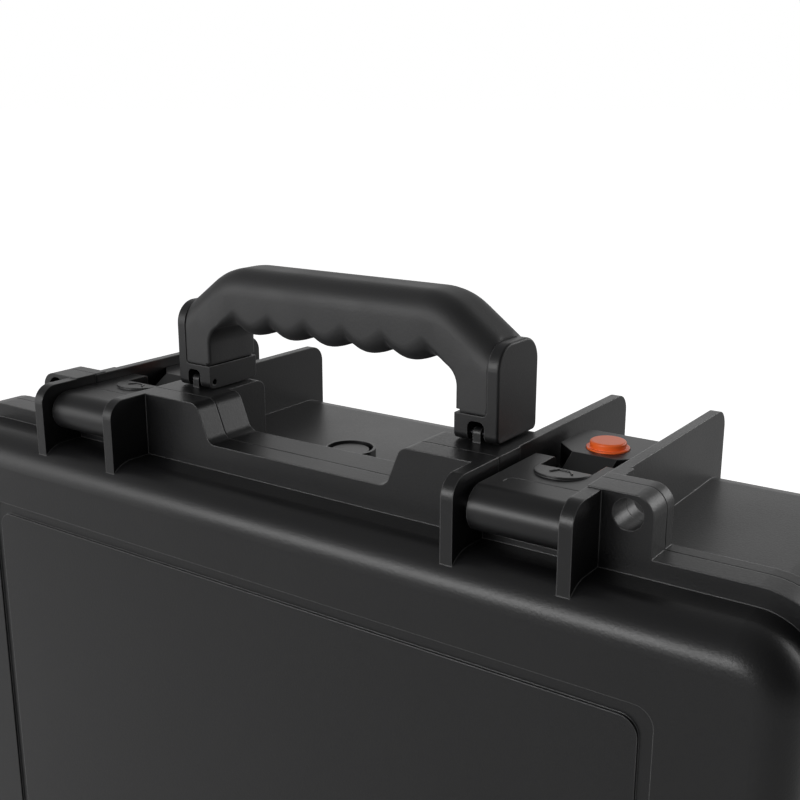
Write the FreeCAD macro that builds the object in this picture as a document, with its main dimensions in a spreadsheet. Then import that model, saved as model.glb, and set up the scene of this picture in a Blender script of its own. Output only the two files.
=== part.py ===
import FreeCAD, Part
import Sketcher
import math
import os

# Laptop hard case, standing on its hinge side with the handle on top.
# X runs along the length, Y from the lid (low) to the back of the base (high), Z up.
# The origin is under the middle of the case, on the surface that its feet stand on.

SIZES = [
    # Shells
    ("case_length", 433.0),
    ("case_height", 305.0),
    ("lid_depth", 35.0),
    ("base_depth", 119.0),
    ("foot_height", 14.0),
    ("wall", 3.0),
    ("rim_reach", 7.0),
    ("wall_corner", 22.5),
    ("lid_edge", 14.0),
    ("base_edge", 20.0),
    ("lid_rim", 10.7),
    ("base_rim", 6.2),
    ("overrun", 2.0),
    # Raised panels of the big faces
    ("panel_margin_side", 51.0),
    ("panel_margin_end", 31.4),
    ("panel_groove", 5.0),
    ("panel_sink", 1.2),
    ("panel_corner", 7.0),
    # Crest of the closing edge, with its dip in the middle
    ("crest_rise", 10.9),
    ("crest_reach", 15.7),
    ("shoulder_rise", 16.6),
    ("dip_half", 45.8),
    ("dip_run", 6.6),
    ("dip_round", 5.0),
    # Fins beside the latches
    ("bay_start", 88.2),
    ("bay_width", 40.0),
    ("bay_rim", 9.0),
    ("lid_fin", 5.0),
    ("lid_fin_reach", 30.9),
    ("base_fin", 4.2),
    ("base_fin_setback", 0.6),
    ("base_fin_reach", 112.0),
    ("fin_round", 8.0),
    # Ledge of the lid in front of each latch bay
    ("ledge_drop", 8.4),
    ("ledge_depth", 6.2),
    ("post_width", 2.8),
    ("post_rise", 2.9),
    ("post_slope", 2.5),
    # Padlock ears
    ("ear_end", 152.0),
    ("ear_rise", 17.0),
    ("ear_round", 7.0),
    ("padlock_place", 143.0),
    ("padlock_rise", 9.9),
    ("padlock_hole", 11.0),
    # Gasket between the shells
    ("gasket_offset", 1.0),
    ("gasket_groove", 4.0),
    ("gasket_groove_depth", 3.0),
    ("soft_gap", 0.3),
    ("seam_bevel", 0.5),
    # Hinges under the closing edge
    ("hinge_place", 125.0),
    ("hinge_drop", 2.5),
    ("knuckle_radius", 4.0),
    ("knuckle_length", 12.0),
    ("lid_knuckle_length", 20.0),
    ("hinge_pin", 4.0),
    ("side_gap", 0.3),
    ("swing_gap", 0.4),
    ("pin_gap", 0.05),
    # Feet
    ("foot_side_gap", 40.5),
    ("foot_length", 28.0),
    ("foot_start", 12.0),
    ("base_foot_reach", 98.0),
    ("lid_foot_reach", 21.0),
    ("foot_pad", 3.0),
    ("foot_inset", 1.0),
    # Latch levers
    ("latch_place", 109.0),
    ("lever_half", 18.0),
    ("latch_pivot_out", 18.0),
    ("latch_pivot_rise", 4.2),
    ("barrel_radius", 8.5),
    ("crease_start", 12.2),
    ("crease_front", 6.3),
    ("crease_place", 11.5),
    ("crease_round", 3.0),
    ("crease_width", 0.5),
    ("crease_depth", 0.3),
    ("lever_reach", 24.0),
    ("lever_plate", 7.0),
    ("lever_round", 1.5),
    ("hook_length", 8.0),
    ("hook_gap", 0.4),
    ("notch_half", 10.5),
    ("notch_depth", 12.8),
    ("thumb_place", 14.3),
    ("thumb_radius", 10.4),
    ("thumb_rise", 1.0),
    ("thumb_low_rise", 0.2),
    ("latch_pin", 5.0),
    ("latch_pin_seat", 3.5),
    # Release blocks
    ("block_half", 18.0),
    ("tongue_half", 9.1),
    ("tongue_start", 16.0),
    ("block_front", 35.0),
    ("block_shoulder", 43.0),
    ("block_reach", 66.0),
    ("block_rise", 11.8),
    ("ramp_foot_rise", 0.8),
    ("block_round", 5.0),
    ("screw", 3.0),
    ("screw_head", 6.0),
    ("screw_head_height", 2.2),
    ("screw_bite", 8.0),
    ("screw_place", 12.0),
    ("screw_row", 60.0),
    # Push buttons, their springs and the lock bolts
    ("button_row", 47.0),
    ("flange_radius", 8.25),
    ("flange_height", 3.0),
    ("flange_proud", 0.5),
    ("cap_radius", 7.0),
    ("cap_height", 2.5),
    ("cap_round", 0.8),
    ("button_gap", 0.15),
    ("button_travel", 2.5),
    ("stem_half", 3.5),
    ("spring_space", 4.3),
    ("spring_wire", 0.5),
    ("spring_radius", 6.4),
    ("spring_turns", 2.5),
    ("bolt_thick", 4.0),
    ("bolt_drop", 8.0),
    ("bolt_half", 16.0),
    ("prong_width", 4.0),
    ("bolt_bar", 4.5),
    ("bolt_gap", 0.3),
    # Handle
    ("pad_inner", 58.8),
    ("pad_reach", 39.5),
    ("pad_round", 5.0),
    ("handle_half", 82.1),
    ("foot_inner", 63.3),
    ("handle_near", 9.0),
    ("handle_deep", 30.0),
    ("pivot_inset", 3.0),
    ("fold_gap", 0.4),
    ("foot_block", 10.3),
    ("end_plate", 4.8),
    ("end_plate_rise", 37.4),
    ("end_plate_round", 9.8),
    ("end_plate_edge", 1.0),
    ("seat_round", 2.0),
    ("window_place", 69.1),
    ("window_width", 7.3),
    ("window_rise", 8.0),
    ("window_round", 2.4),
    ("window_depth", 10.9),
    ("lug_radius", 2.2),
    ("lug_width", 3.4),
    ("handle_pin", 2.5),
    ("handle_pin_start", 65.0),
    ("handle_pin_length", 14.5),
    ("grip_seat", 0.2),
    ("grip_end_gap", 0.1),
    ("grip_near", 9.2),
    ("grip_deep", 29.8),
    ("grip_rise", 71.1),
    ("grip_under_rise", 45.2),
    ("grip_flat_half", 55.6),
    ("grip_end_rise", 55.1),
    ("grip_shoulder", 30.0),
    ("grip_inner_round", 9.0),
    ("grip_edge", 10.0),
    ("grip_notch", 1.5),
    ("grip_notch_rise", 1.2),
    ("bump_pitch", 20.2),
    ("bump_radius", 18.5),
    ("bump_drop", 2.6),
    ("bump_tip", 3.6),
    ("bump_run", 16.0),
    ("bump_rise", 10.4),
    ("core_inset", 3.1),
    ("core_leg", 8.0),
    ("core_deep", 12.0),
    ("core_under_rise", 52.0),
    ("core_flat_half", 52.0),
    ("core_end_rise", 50.0),
    ("core_rise", 60.0),
    # Pressure valve
    ("valve_row", 27.0),
    ("valve_radius", 11.0),
    ("valve_rise", 8.4),
    ("valve_ring", 1.2),
    ("valve_floor", 2.6),
    ("valve_cap_radius", 8.1),
    ("valve_cap_sink", 0.9),
    ("valve_cap_thick", 1.6),
    ("valve_cap_stem", 3.0),
    ("valve_stem", 6.0),
    ("valve_stem_length", 9.0),
    ("valve_nut", 17.0),
    ("valve_nut_height", 4.5),
    ("seal_radius", 7.6),
    ("seal_section", 0.7),
    ("seal_gap", 0.1),
    # Foam inside
    ("base_foam_start", 4.0),
    ("lid_foam_start", 3.0),
    ("laptop_length", 370.0),
    ("laptop_width", 255.0),
    ("laptop_recess", 75.0),
    ("laptop_corner", 15.0),
    ("relief_gap", 1.5),
]

doc = FreeCAD.newDocument("LaptopHardCase")
sheet = doc.addObject("Spreadsheet::Sheet", "Sizes")


class Size:
    """A size: its value now, and the formula that keeps a feature tied to the sheet."""

    def __init__(self, value, text):
        self.value = value
        self.text = text

    def __add__(self, other):
        other = as_size(other)
        return Size(self.value + other.value, f"({self.text} + {other.text})")

    def __sub__(self, other):
        other = as_size(other)
        return Size(self.value - other.value, f"({self.text} - {other.text})")

    def __mul__(self, other):
        other = as_size(other)
        return Size(self.value * other.value, f"({self.text} * {other.text})")

    def __truediv__(self, factor):
        return Size(self.value / factor, f"({self.text} / {factor})")

    def __neg__(self):
        return Size(-self.value, f"(0 - {self.text})")

    __rmul__ = __mul__


def as_size(thing):
    return thing if isinstance(thing, Size) else Size(float(thing), str(thing))


def root(size):
    return Size(math.sqrt(size.value), f"sqrt({size.text})")


def fill_sheet():
    sizes = {}
    for row, (alias, value) in enumerate(SIZES, start=1):
        sheet.set(f"A{row}", alias)
        sheet.set(f"B{row}", str(value))
        sheet.setAlias(f"B{row}", alias)
        sizes[alias] = Size(value, f"Sizes.{alias}")
    doc.recompute()
    return sizes


S = fill_sheet()

# Places that follow from the sizes
ZERO = Size(0.0, "0")
SEAM = (S["lid_depth"] - S["base_depth"]) / 2
WALL_HALF = S["case_length"] / 2 - S["rim_reach"]
WALL_LOW = S["foot_height"]
WALL_HIGH = WALL_LOW + S["case_height"]
LID_FACE = SEAM - S["lid_depth"]
BASE_FACE = SEAM + S["base_depth"]
CREST = WALL_HIGH + S["crest_rise"]
SHOULDER = CREST + S["shoulder_rise"]
SKIN = WALL_HIGH - S["wall"] / 2
BAY_END = S["bay_start"] + S["bay_width"]
HINGE_Z = WALL_LOW - S["rim_reach"] - S["hinge_drop"]
LATCH_Y = SEAM - S["latch_pivot_out"]
LATCH_Z = CREST + S["latch_pivot_rise"]
LEVER_TOP = LATCH_Z + S["barrel_radius"]
LEVER_TIP = SEAM + S["lever_reach"]
BLOCK_TOP = CREST + S["block_rise"]
BUTTON_Y = SEAM + S["button_row"]
FLANGE_TOP = BLOCK_TOP + S["flange_proud"]
FLANGE_LOW = FLANGE_TOP - S["flange_height"]
SPRING_LOW = FLANGE_LOW - S["spring_space"]
BOLT_TOP = BLOCK_TOP - S["bolt_drop"]
BOLT_LOW = BOLT_TOP - S["bolt_thick"]
PIVOT_Y = SEAM + S["handle_near"] + S["pivot_inset"]
FOOT_LOW = SHOULDER + S["fold_gap"]
PIVOT_Z = FOOT_LOW + S["pivot_inset"]
FOOT_TOP = FOOT_LOW + S["foot_block"]
PAD_TOP = S["foot_pad"]
FOOT_PLACE = WALL_HALF - S["foot_side_gap"]

TOLERANCE = 1e-5
NUT_CORNER_SHARE = 2 / math.sqrt(3)
SPRING_END_SHARE = 1.2
LUG_ROUND_SHARE = 0.98
NORMAL = {"XY_Plane": 1, "XZ_Plane": -1, "YZ_Plane": 1}
checked = []
nodes = []


# Helpers for sketches and features

def tie(thing, prop, size):
    """Set a property through the formula of a size."""
    thing.setExpression(prop, as_size(size).text)


def new_body(label):
    body = doc.addObject("PartDesign::Body", label)
    body.Label = label
    nodes.append(body)
    return body


def origin_plane(body, role):
    for feature in body.Origin.OriginFeatures:
        if feature.Role == role:
            return feature
    raise ValueError(f"{body.Label} has no {role}")


def new_sketch(body, name, role, level):
    sketch = body.newObject("Sketcher::SketchObject", name)
    sketch.AttachmentSupport = [(origin_plane(body, role), "")]
    sketch.MapMode = "FlatFace"
    tie(sketch, "AttachmentOffset.Base.z", as_size(level) * NORMAL[role])
    return sketch


def pin_point(sketch, geometry, end, x, y):
    """Hold a point of a sketch at two tied distances from the sketch's origin."""
    for kind, size in (("DistanceX", x), ("DistanceY", y)):
        size = as_size(size)
        rule = Sketcher.Constraint(kind, -1, 1, geometry, end, size.value)
        index = sketch.addConstraint(rule)
        sketch.setExpression(f"Constraints[{index}]", size.text)


def corner_arc(before, corner, after, radius):
    """Start, end, centre and turn of the arc that rounds a corner."""
    into = (corner - before).normalize()
    out = (after - corner).normalize()
    turn = math.atan2(into.x * out.y - into.y * out.x, into.dot(out))
    cut = radius * math.tan(abs(turn) / 2)
    start = corner - into * cut
    end = corner + out * cut
    side = math.copysign(1, turn)
    centre = start + FreeCAD.Vector(-into.y, into.x, 0) * (radius * side)
    return start, end, centre, side


def draw_outline(sketch, points):
    """A closed outline through points (x, y) or (x, y, corner radius), all tied to sizes."""
    places = [FreeCAD.Vector(as_size(p[0]).value, as_size(p[1]).value, 0) for p in points]
    count = len(points)
    starts = list(places)
    ends = list(places)
    arcs = {}
    for i, point in enumerate(points):
        if len(point) == 3:
            radius = as_size(point[2]).value
            arc = corner_arc(places[i - 1], places[i], places[(i + 1) % count], radius)
            starts[i], ends[i] = arc[0], arc[1]
            arcs[i] = (arc, radius)
    lines = []
    for i in range(count):
        line = Part.LineSegment(ends[i], starts[(i + 1) % count])
        lines.append(sketch.addGeometry(line))
    for i, point in enumerate(points):
        before = lines[i - 1]
        after = lines[i]
        if i not in arcs:
            sketch.addConstraint(Sketcher.Constraint("Coincident", before, 2, after, 1))
            pin_point(sketch, after, 1, point[0], point[1])
            continue
        (start, end, centre, side), radius = arcs[i]
        first, last = (start, end) if side > 0 else (end, start)
        low = math.atan2(first.y - centre.y, first.x - centre.x)
        high = math.atan2(last.y - centre.y, last.x - centre.x)
        circle = Part.Circle(centre, FreeCAD.Vector(0, 0, 1), radius)
        arc = sketch.addGeometry(Part.ArcOfCircle(circle, low, high))
        near, far = (1, 2) if side > 0 else (2, 1)
        sketch.addConstraint(Sketcher.Constraint("Tangent", before, 2, arc, near))
        sketch.addConstraint(Sketcher.Constraint("Tangent", arc, far, after, 1))
        index = sketch.addConstraint(Sketcher.Constraint("Radius", arc, radius))
        sketch.setExpression(f"Constraints[{index}]", as_size(point[2]).text)
        corner = sketch.addGeometry(Part.Point(places[i]), True)
        pin_point(sketch, corner, 1, point[0], point[1])
        sketch.addConstraint(Sketcher.Constraint("PointOnObject", corner, 1, before))
        sketch.addConstraint(Sketcher.Constraint("PointOnObject", corner, 1, after))


def draw_circle(sketch, x, y, radius):
    x, y, radius = as_size(x), as_size(y), as_size(radius)
    centre = FreeCAD.Vector(x.value, y.value, 0)
    circle = sketch.addGeometry(Part.Circle(centre, FreeCAD.Vector(0, 0, 1), radius.value))
    pin_point(sketch, circle, 3, x, y)
    index = sketch.addConstraint(Sketcher.Constraint("Radius", circle, radius.value))
    sketch.setExpression(f"Constraints[{index}]", radius.text)


def draw(sketch, shapes):
    for shape in shapes:
        if isinstance(shape, tuple):
            draw_circle(sketch, *shape)
        else:
            draw_outline(sketch, shape)


def grow(body, name, role, level, shapes, length, toward=1):
    """Add a prism: outlines (lists) and circles (tuples) on a plane, along its axis."""
    sketch = new_sketch(body, f"{name}_outline", role, level)
    draw(sketch, shapes)
    pad = body.newObject("PartDesign::Pad", name)
    pad.Profile = sketch
    tie(pad, "Length", length)
    pad.Reversed = toward * NORMAL[role] < 0
    checked.append((pad, 1))
    return pad


def carve(body, name, role, level, shapes, length, toward=1):
    """Cut a prism away."""
    sketch = new_sketch(body, f"{name}_outline", role, level)
    draw(sketch, shapes)
    pocket = body.newObject("PartDesign::Pocket", name)
    pocket.Profile = sketch
    tie(pocket, "Length", length)
    pocket.Reversed = toward * NORMAL[role] > 0
    checked.append((pocket, -1))
    return pocket


def turn(body, name, points):
    """A solid of revolution about the local Z axis, from a half outline in XZ."""
    sketch = new_sketch(body, f"{name}_outline", "XZ_Plane", 0)
    draw_outline(sketch, points)
    revolution = body.newObject("PartDesign::Revolution", name)
    revolution.Profile = sketch
    revolution.ReferenceAxis = (sketch, ["V_Axis"])
    revolution.Angle = 360.0
    return revolution


def mirror(body, name, originals):
    """Repeat features on the other side of the middle plane."""
    mirrored = body.newObject("PartDesign::Mirrored", name)
    mirrored.Originals = originals
    mirrored.MirrorPlane = (origin_plane(body, "YZ_Plane"), [""])
    body.Tip = mirrored
    return mirrored


def round_edges(body, name, radius, chosen):
    """Fillet the edges of the last feature that a test picks."""
    doc.recompute()
    base = body.Tip
    names = []
    for number, edge in enumerate(base.Shape.Edges, start=1):
        if chosen(edge):
            names.append(f"Edge{number}")
    if not names:
        raise ValueError(f"{body.Label}: no edge found for {name}")
    fillet = body.newObject("PartDesign::Fillet", name)
    fillet.Base = (base, names)
    tie(fillet, "Radius", radius)
    return fillet


def near(a, b):
    return abs(a - b) < TOLERANCE


def lies_at_y(place):
    def test(shape):
        bounds = shape.BoundBox
        return near(bounds.YMin, place.value) and near(bounds.YMax, place.value)
    return test


def bevel_seam(body, name):
    """Bevel the outer outline of a closing edge, so that the closed seam shows as a fine line.

    The inward corners beside the hinge knuckles keep their plain edges.
    """
    doc.recompute()
    base = body.Tip
    inside = (WALL_HALF.value, WALL_LOW.value, WALL_HIGH.value)
    rim_low = (WALL_LOW - S["rim_reach"]).value
    names = []
    for number, edge in enumerate(base.Shape.Edges, start=1):
        bounds = edge.BoundBox
        at_seam = near(bounds.YMin, SEAM.value) and near(bounds.YMax, SEAM.value)
        beyond = (bounds.XMax > inside[0] or bounds.XMin < -inside[0]
                  or bounds.ZMin < inside[1] or bounds.ZMax > inside[2])
        by_knuckle = rim_low + TOLERANCE < bounds.ZMax < inside[1]
        if at_seam and beyond and not by_knuckle:
            names.append(f"Edge{number}")
    chamfer = body.newObject("PartDesign::Chamfer", name)
    chamfer.Base = (base, names)
    tie(chamfer, "Size", S["seam_bevel"])
    return chamfer


def hollow(body, name, wall, chosen):
    """Hollow the last feature to an even wall, open at the face that a test picks."""
    doc.recompute()
    base = body.Tip
    faces = [f"Face{n}" for n, face in enumerate(base.Shape.Faces, start=1) if chosen(face)]
    shell = body.newObject("PartDesign::Thickness", name)
    shell.Base = (base, faces)
    shell.Reversed = True
    tie(shell, "Value", wall)
    checked.append((shell, -1))
    return shell


def edge_drop(edge_radius, run):
    """How far the middle of a wall has dropped at a distance into its rounded edge."""
    middle = edge_radius - S["wall"] / 2
    return edge_radius - root(middle * middle - run * run)


def rounded_box(half, low, high, corner):
    return [(-half, low, corner), (half, low, corner), (half, high, corner), (-half, high, corner)]


def plain_box(x0, x1, y0, y1):
    return [(x0, y0), (x1, y0), (x1, y1), (x0, y1)]


def place(body, side, distance):
    """Move a piece drawn about its own middle plane to its side of the case."""
    tie(body, "Placement.Base.x", distance * side)


SIDES = (("left", -1), ("right", 1))


# The two shells

def edge_loop(offset):
    """An outline that runs round the closing edge at one distance outside the wall line."""
    return rounded_box(WALL_HALF + offset, WALL_LOW - offset, WALL_HIGH + offset,
                       S["wall_corner"] + offset)


def rim_loops():
    return [edge_loop(S["rim_reach"]), edge_loop(-S["wall"] / 2)]


def crest_outline():
    """Closing edge between the inner fins: high shoulders with a dip under the handle."""
    end = S["bay_start"] - S["lid_fin"] / 2
    low = S["dip_half"]
    high = low + S["dip_run"]
    soft = S["dip_round"]
    return [(-end, SKIN), (end, SKIN), (end, SHOULDER), (high, SHOULDER, soft), (low, CREST, soft),
            (-low, CREST, soft), (-high, SHOULDER, soft), (-end, SHOULDER)]


def ear_outline():
    top = CREST + S["ear_rise"]
    return [(BAY_END, SKIN), (S["ear_end"], SKIN), (S["ear_end"], top, S["ear_round"]), (BAY_END, top)]


def knuckle_spans():
    """Start and length of the outer knuckles, on the base, and of the one between, on the lid."""
    middle = S["lid_knuckle_length"] / 2
    first = S["hinge_place"] - middle - S["side_gap"] - S["knuckle_length"]
    second = S["hinge_place"] + middle + S["side_gap"]
    base = [(first, S["knuckle_length"]), (second, S["knuckle_length"])]
    lid = [(S["hinge_place"] - middle, S["lid_knuckle_length"])]
    return base, lid


def add_knuckles(body, spans, away):
    """Hinge knuckles under the rim: a barrel and the web that carries it."""
    made = []
    top = WALL_LOW - S["rim_reach"] / 2
    for number, (start, length) in enumerate(spans):
        barrel = [(SEAM, HINGE_Z, S["knuckle_radius"])]
        web = plain_box(SEAM, SEAM + away * S["knuckle_radius"], HINGE_Z, top)
        made.append(grow(body, f"knuckle_barrel_{number}", "YZ_Plane", start, barrel, length))
        made.append(grow(body, f"knuckle_web_{number}", "YZ_Plane", start, [web], length))
    return made


def clear_knuckles(body, spans):
    """Room in a rim for the knuckles of the other shell."""
    made = []
    radius = S["knuckle_radius"] + S["swing_gap"]
    for number, (start, length) in enumerate(spans):
        room = [(SEAM, HINGE_Z, radius)]
        made.append(carve(body, f"knuckle_room_{number}", "YZ_Plane", start - S["side_gap"], room,
                          length + S["side_gap"] * 2))
    return made


def panel_ring(half, low, high, inset):
    """One loop of the groove round a raised panel."""
    side = S["panel_margin_side"] + inset
    end = S["panel_margin_end"] + inset
    return rounded_box(half - side, low + end, high - end, S["panel_corner"])


def carve_panel(body, name, face, toward):
    rings = [panel_ring(S["case_length"] / 2, WALL_LOW, WALL_HIGH, ZERO),
             panel_ring(S["case_length"] / 2, WALL_LOW, WALL_HIGH, S["panel_groove"])]
    return carve(body, name, "XZ_Plane", face - S["overrun"] * toward, rings,
                 S["overrun"] + S["panel_sink"], toward)


def build_base_shell():
    body = new_body("base_shell")
    outer = rounded_box(WALL_HALF, WALL_LOW, WALL_HIGH, S["wall_corner"])
    grow(body, "base_tub", "XZ_Plane", SEAM, [outer], S["base_depth"])
    round_edges(body, "base_tub_edge", S["base_edge"], lies_at_y(BASE_FACE))
    hollow(body, "base_hollow", S["wall"], lies_at_y(SEAM))
    grow(body, "base_rim_band", "XZ_Plane", SEAM, rim_loops(), S["base_rim"])
    grow(body, "base_crest", "XZ_Plane", SEAM, [crest_outline()], S["crest_reach"])

    sides = []
    for number, start in enumerate((S["bay_start"] - S["base_fin_setback"] - S["base_fin"],
                                    BAY_END - S["base_fin_setback"])):
        level = BASE_FACE - S["base_edge"]
        tip = SEAM + S["base_fin_reach"]
        foot = WALL_HIGH - edge_drop(S["base_edge"], tip - level)
        fin = [(SEAM, SKIN), (level, SKIN), (tip, foot), (tip, SHOULDER, S["fin_round"]),
               (SEAM, SHOULDER)]
        sides.append(grow(body, f"base_fin_{number}", "YZ_Plane", start, [fin], S["base_fin"]))
    for number, start in enumerate((S["bay_start"] - S["lid_fin"], BAY_END)):
        stub = plain_box(SEAM, SEAM + S["crest_reach"], SKIN, SHOULDER)
        sides.append(grow(body, f"base_stub_{number}", "YZ_Plane", start, [stub], S["lid_fin"]))
    bay = plain_box(S["bay_start"] - S["lid_fin"] / 2, BAY_END + S["lid_fin"] / 2, SKIN, CREST)
    sides.append(grow(body, "bay_rim_band", "XZ_Plane", SEAM, [bay], S["bay_rim"]))
    sides.append(grow(body, "base_ear", "XZ_Plane", SEAM, [ear_outline()], S["base_rim"]))
    pad_near = SEAM + S["base_rim"]
    pad_far = SEAM + S["pad_reach"]
    pad_end = S["bay_start"] - S["lid_fin"] / 2
    pad = [(pad_near, SKIN), (pad_far, SKIN), (pad_far, SHOULDER, S["pad_round"]), (pad_near, SHOULDER)]
    sides.append(grow(body, "handle_pad", "YZ_Plane", S["pad_inner"], [pad], pad_end - S["pad_inner"]))
    lug_near = PIVOT_Y - S["lug_radius"]
    lug_far = PIVOT_Y + S["lug_radius"]
    lug_low = SHOULDER - S["overrun"]
    lug_top = PIVOT_Z + S["lug_radius"]
    lug_corner = S["lug_radius"] * LUG_ROUND_SHARE
    lug = [(lug_near, lug_low), (lug_far, lug_low), (lug_far, lug_top, lug_corner),
           (lug_near, lug_top, lug_corner)]
    lug_start = S["window_place"] + S["window_width"] / 2 - S["lug_width"] / 2
    sides.append(grow(body, "handle_lug", "YZ_Plane", lug_start, [lug], S["lug_width"]))
    base_spans, lid_spans = knuckle_spans()
    sides += add_knuckles(body, base_spans, 1)
    foot = plain_box(FOOT_PLACE - S["foot_length"] / 2, FOOT_PLACE + S["foot_length"] / 2,
                     SEAM + S["foot_start"], SEAM + S["base_foot_reach"])
    sides.append(grow(body, "foot_block", "XY_Plane", PAD_TOP, [foot], WALL_LOW + S["wall"] / 2 - PAD_TOP))
    mirror(body, "base_sides", sides)
    bevel_seam(body, "base_seam_bevel")

    wall = S["wall"]
    carve_panel(body, "base_panel", BASE_FACE, -1)

    cuts = clear_knuckles(body, lid_spans)
    padlock = (S["padlock_place"], CREST + S["padlock_rise"], S["padlock_hole"] / 2)
    cuts.append(carve(body, "base_padlock_hole", "XZ_Plane", SEAM - S["overrun"], [padlock],
                      S["base_rim"] + S["overrun"] * 2))
    reach = S["lid_knuckle_length"] / 2 + S["side_gap"] + S["knuckle_length"] + S["overrun"]
    cuts.append(carve(body, "base_pin_hole", "YZ_Plane", S["hinge_place"] - reach,
                      [(SEAM, HINGE_Z, S["hinge_pin"] / 2)], reach * 2))
    cuts.append(carve(body, "lug_hole", "YZ_Plane", S["foot_inner"],
                      [(PIVOT_Y, PIVOT_Z, S["handle_pin"] / 2)], S["handle_half"] - S["foot_inner"]))
    screws = []
    for offset in (-S["screw_place"], S["screw_place"]):
        screws.append((S["latch_place"] + offset, SEAM + S["screw_row"], S["screw"] / 2))
    cuts.append(carve(body, "screw_holes", "XY_Plane", WALL_HIGH - wall * 2, screws, wall * 3))
    mirror(body, "base_side_cuts", cuts)
    carve(body, "valve_hole", "XY_Plane", WALL_HIGH - wall * 2,
          [(ZERO, SEAM + S["valve_row"], S["valve_stem"])], wall * 3)
    return body


def ledge_cut(start):
    """What is cut away above the ledge of a latch bay, beside its post."""
    ledge = CREST - S["ledge_drop"]
    post_end = start + S["post_width"]
    post_top = ledge + S["post_rise"]
    high = CREST + S["overrun"]
    end = start + S["bay_width"]
    return [(start, post_top), (post_end, post_top), (post_end + S["post_slope"], ledge), (end, ledge),
            (end, high), (start, high)]


def build_lid_shell():
    body = new_body("lid_shell")
    outer = rounded_box(WALL_HALF, WALL_LOW, WALL_HIGH, S["wall_corner"])
    grow(body, "lid_tub", "XZ_Plane", SEAM, [outer], S["lid_depth"], -1)
    round_edges(body, "lid_tub_edge", S["lid_edge"], lies_at_y(LID_FACE))
    hollow(body, "lid_hollow", S["wall"], lies_at_y(SEAM))
    grow(body, "lid_rim_band", "XZ_Plane", SEAM, rim_loops(), S["lid_rim"], -1)
    grow(body, "lid_crest", "XZ_Plane", SEAM, [crest_outline()], S["lid_rim"], -1)

    sides = []
    for number, start in enumerate((S["bay_start"] - S["lid_fin"], BAY_END)):
        tip = SEAM - S["lid_fin_reach"]
        level = LID_FACE + S["lid_edge"]
        foot = WALL_HIGH - edge_drop(S["lid_edge"], level - tip)
        fin = [(SEAM, SKIN), (SEAM, SHOULDER), (tip, SHOULDER, S["fin_round"]), (tip, foot),
               (level, SKIN)]
        sides.append(grow(body, f"lid_fin_{number}", "YZ_Plane", start, [fin], S["lid_fin"]))
    bay = plain_box(S["bay_start"] - S["lid_fin"] / 2, BAY_END + S["lid_fin"] / 2, SKIN, CREST)
    sides.append(grow(body, "lid_bay_band", "XZ_Plane", SEAM, [bay], S["lid_rim"], -1))
    sides.append(grow(body, "lid_ear", "XZ_Plane", SEAM, [ear_outline()], S["lid_rim"], -1))
    base_spans, lid_spans = knuckle_spans()
    sides += add_knuckles(body, lid_spans, -1)
    foot = plain_box(FOOT_PLACE - S["foot_length"] / 2, FOOT_PLACE + S["foot_length"] / 2,
                     SEAM - S["lid_foot_reach"], SEAM - S["foot_start"])
    sides.append(grow(body, "lid_foot_block", "XY_Plane", PAD_TOP, [foot],
                      WALL_LOW + S["wall"] / 2 - PAD_TOP))
    mirror(body, "lid_sides", sides)

    carve_panel(body, "lid_panel", LID_FACE, 1)
    ledges = [ledge_cut(-BAY_END), ledge_cut(S["bay_start"])]
    carve(body, "bay_ledges", "XZ_Plane", SEAM - S["lid_rim"] - S["overrun"], ledges,
          S["overrun"] + S["ledge_depth"])
    middle = S["gasket_offset"]
    half_groove = S["gasket_groove"] / 2
    loops = [edge_loop(middle + half_groove), edge_loop(middle - half_groove)]
    carve(body, "gasket_channel", "XZ_Plane", SEAM, loops, S["gasket_groove_depth"], -1)

    cuts = clear_knuckles(body, base_spans)
    padlock = (S["padlock_place"], CREST + S["padlock_rise"], S["padlock_hole"] / 2)
    cuts.append(carve(body, "lid_padlock_hole", "XZ_Plane", SEAM + S["overrun"], [padlock],
                      S["lid_rim"] + S["overrun"] * 2, -1))
    cuts.append(carve(body, "lid_pin_hole", "YZ_Plane", S["hinge_place"] - S["lid_knuckle_length"],
                      [(SEAM, HINGE_Z, S["hinge_pin"] / 2 + S["pin_gap"])], S["lid_knuckle_length"] * 2))
    seat = [(LATCH_Y, LATCH_Z, S["latch_pin"] / 2)]
    cuts.append(carve(body, "latch_pin_seat", "YZ_Plane", S["bay_start"] - S["latch_pin_seat"], seat,
                      S["bay_width"] + S["latch_pin_seat"] * 2))
    mirror(body, "lid_side_cuts", cuts)
    return body


def build_gasket():
    body = new_body("lid_gasket")
    half = S["gasket_groove"] / 2 - S["soft_gap"]
    loops = [edge_loop(S["gasket_offset"] + half), edge_loop(S["gasket_offset"] - half)]
    grow(body, "gasket_band", "XZ_Plane", SEAM - S["soft_gap"], loops,
         S["gasket_groove_depth"] - S["soft_gap"], -1)


# Hinges and feet

def build_pin(label, start, length, y, z, radius):
    body = new_body(label)
    grow(body, f"{label}_rod", "YZ_Plane", start, [(y, z, radius)], length)
    return body


def build_hinge_pins():
    length = S["lid_knuckle_length"] + S["knuckle_length"] * 2 + S["side_gap"] * 2
    for name, side in SIDES:
        pin = build_pin(f"hinge_pin_{name}", -length / 2, length, SEAM, HINGE_Z, S["hinge_pin"] / 2)
        place(pin, side, S["hinge_place"])


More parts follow.
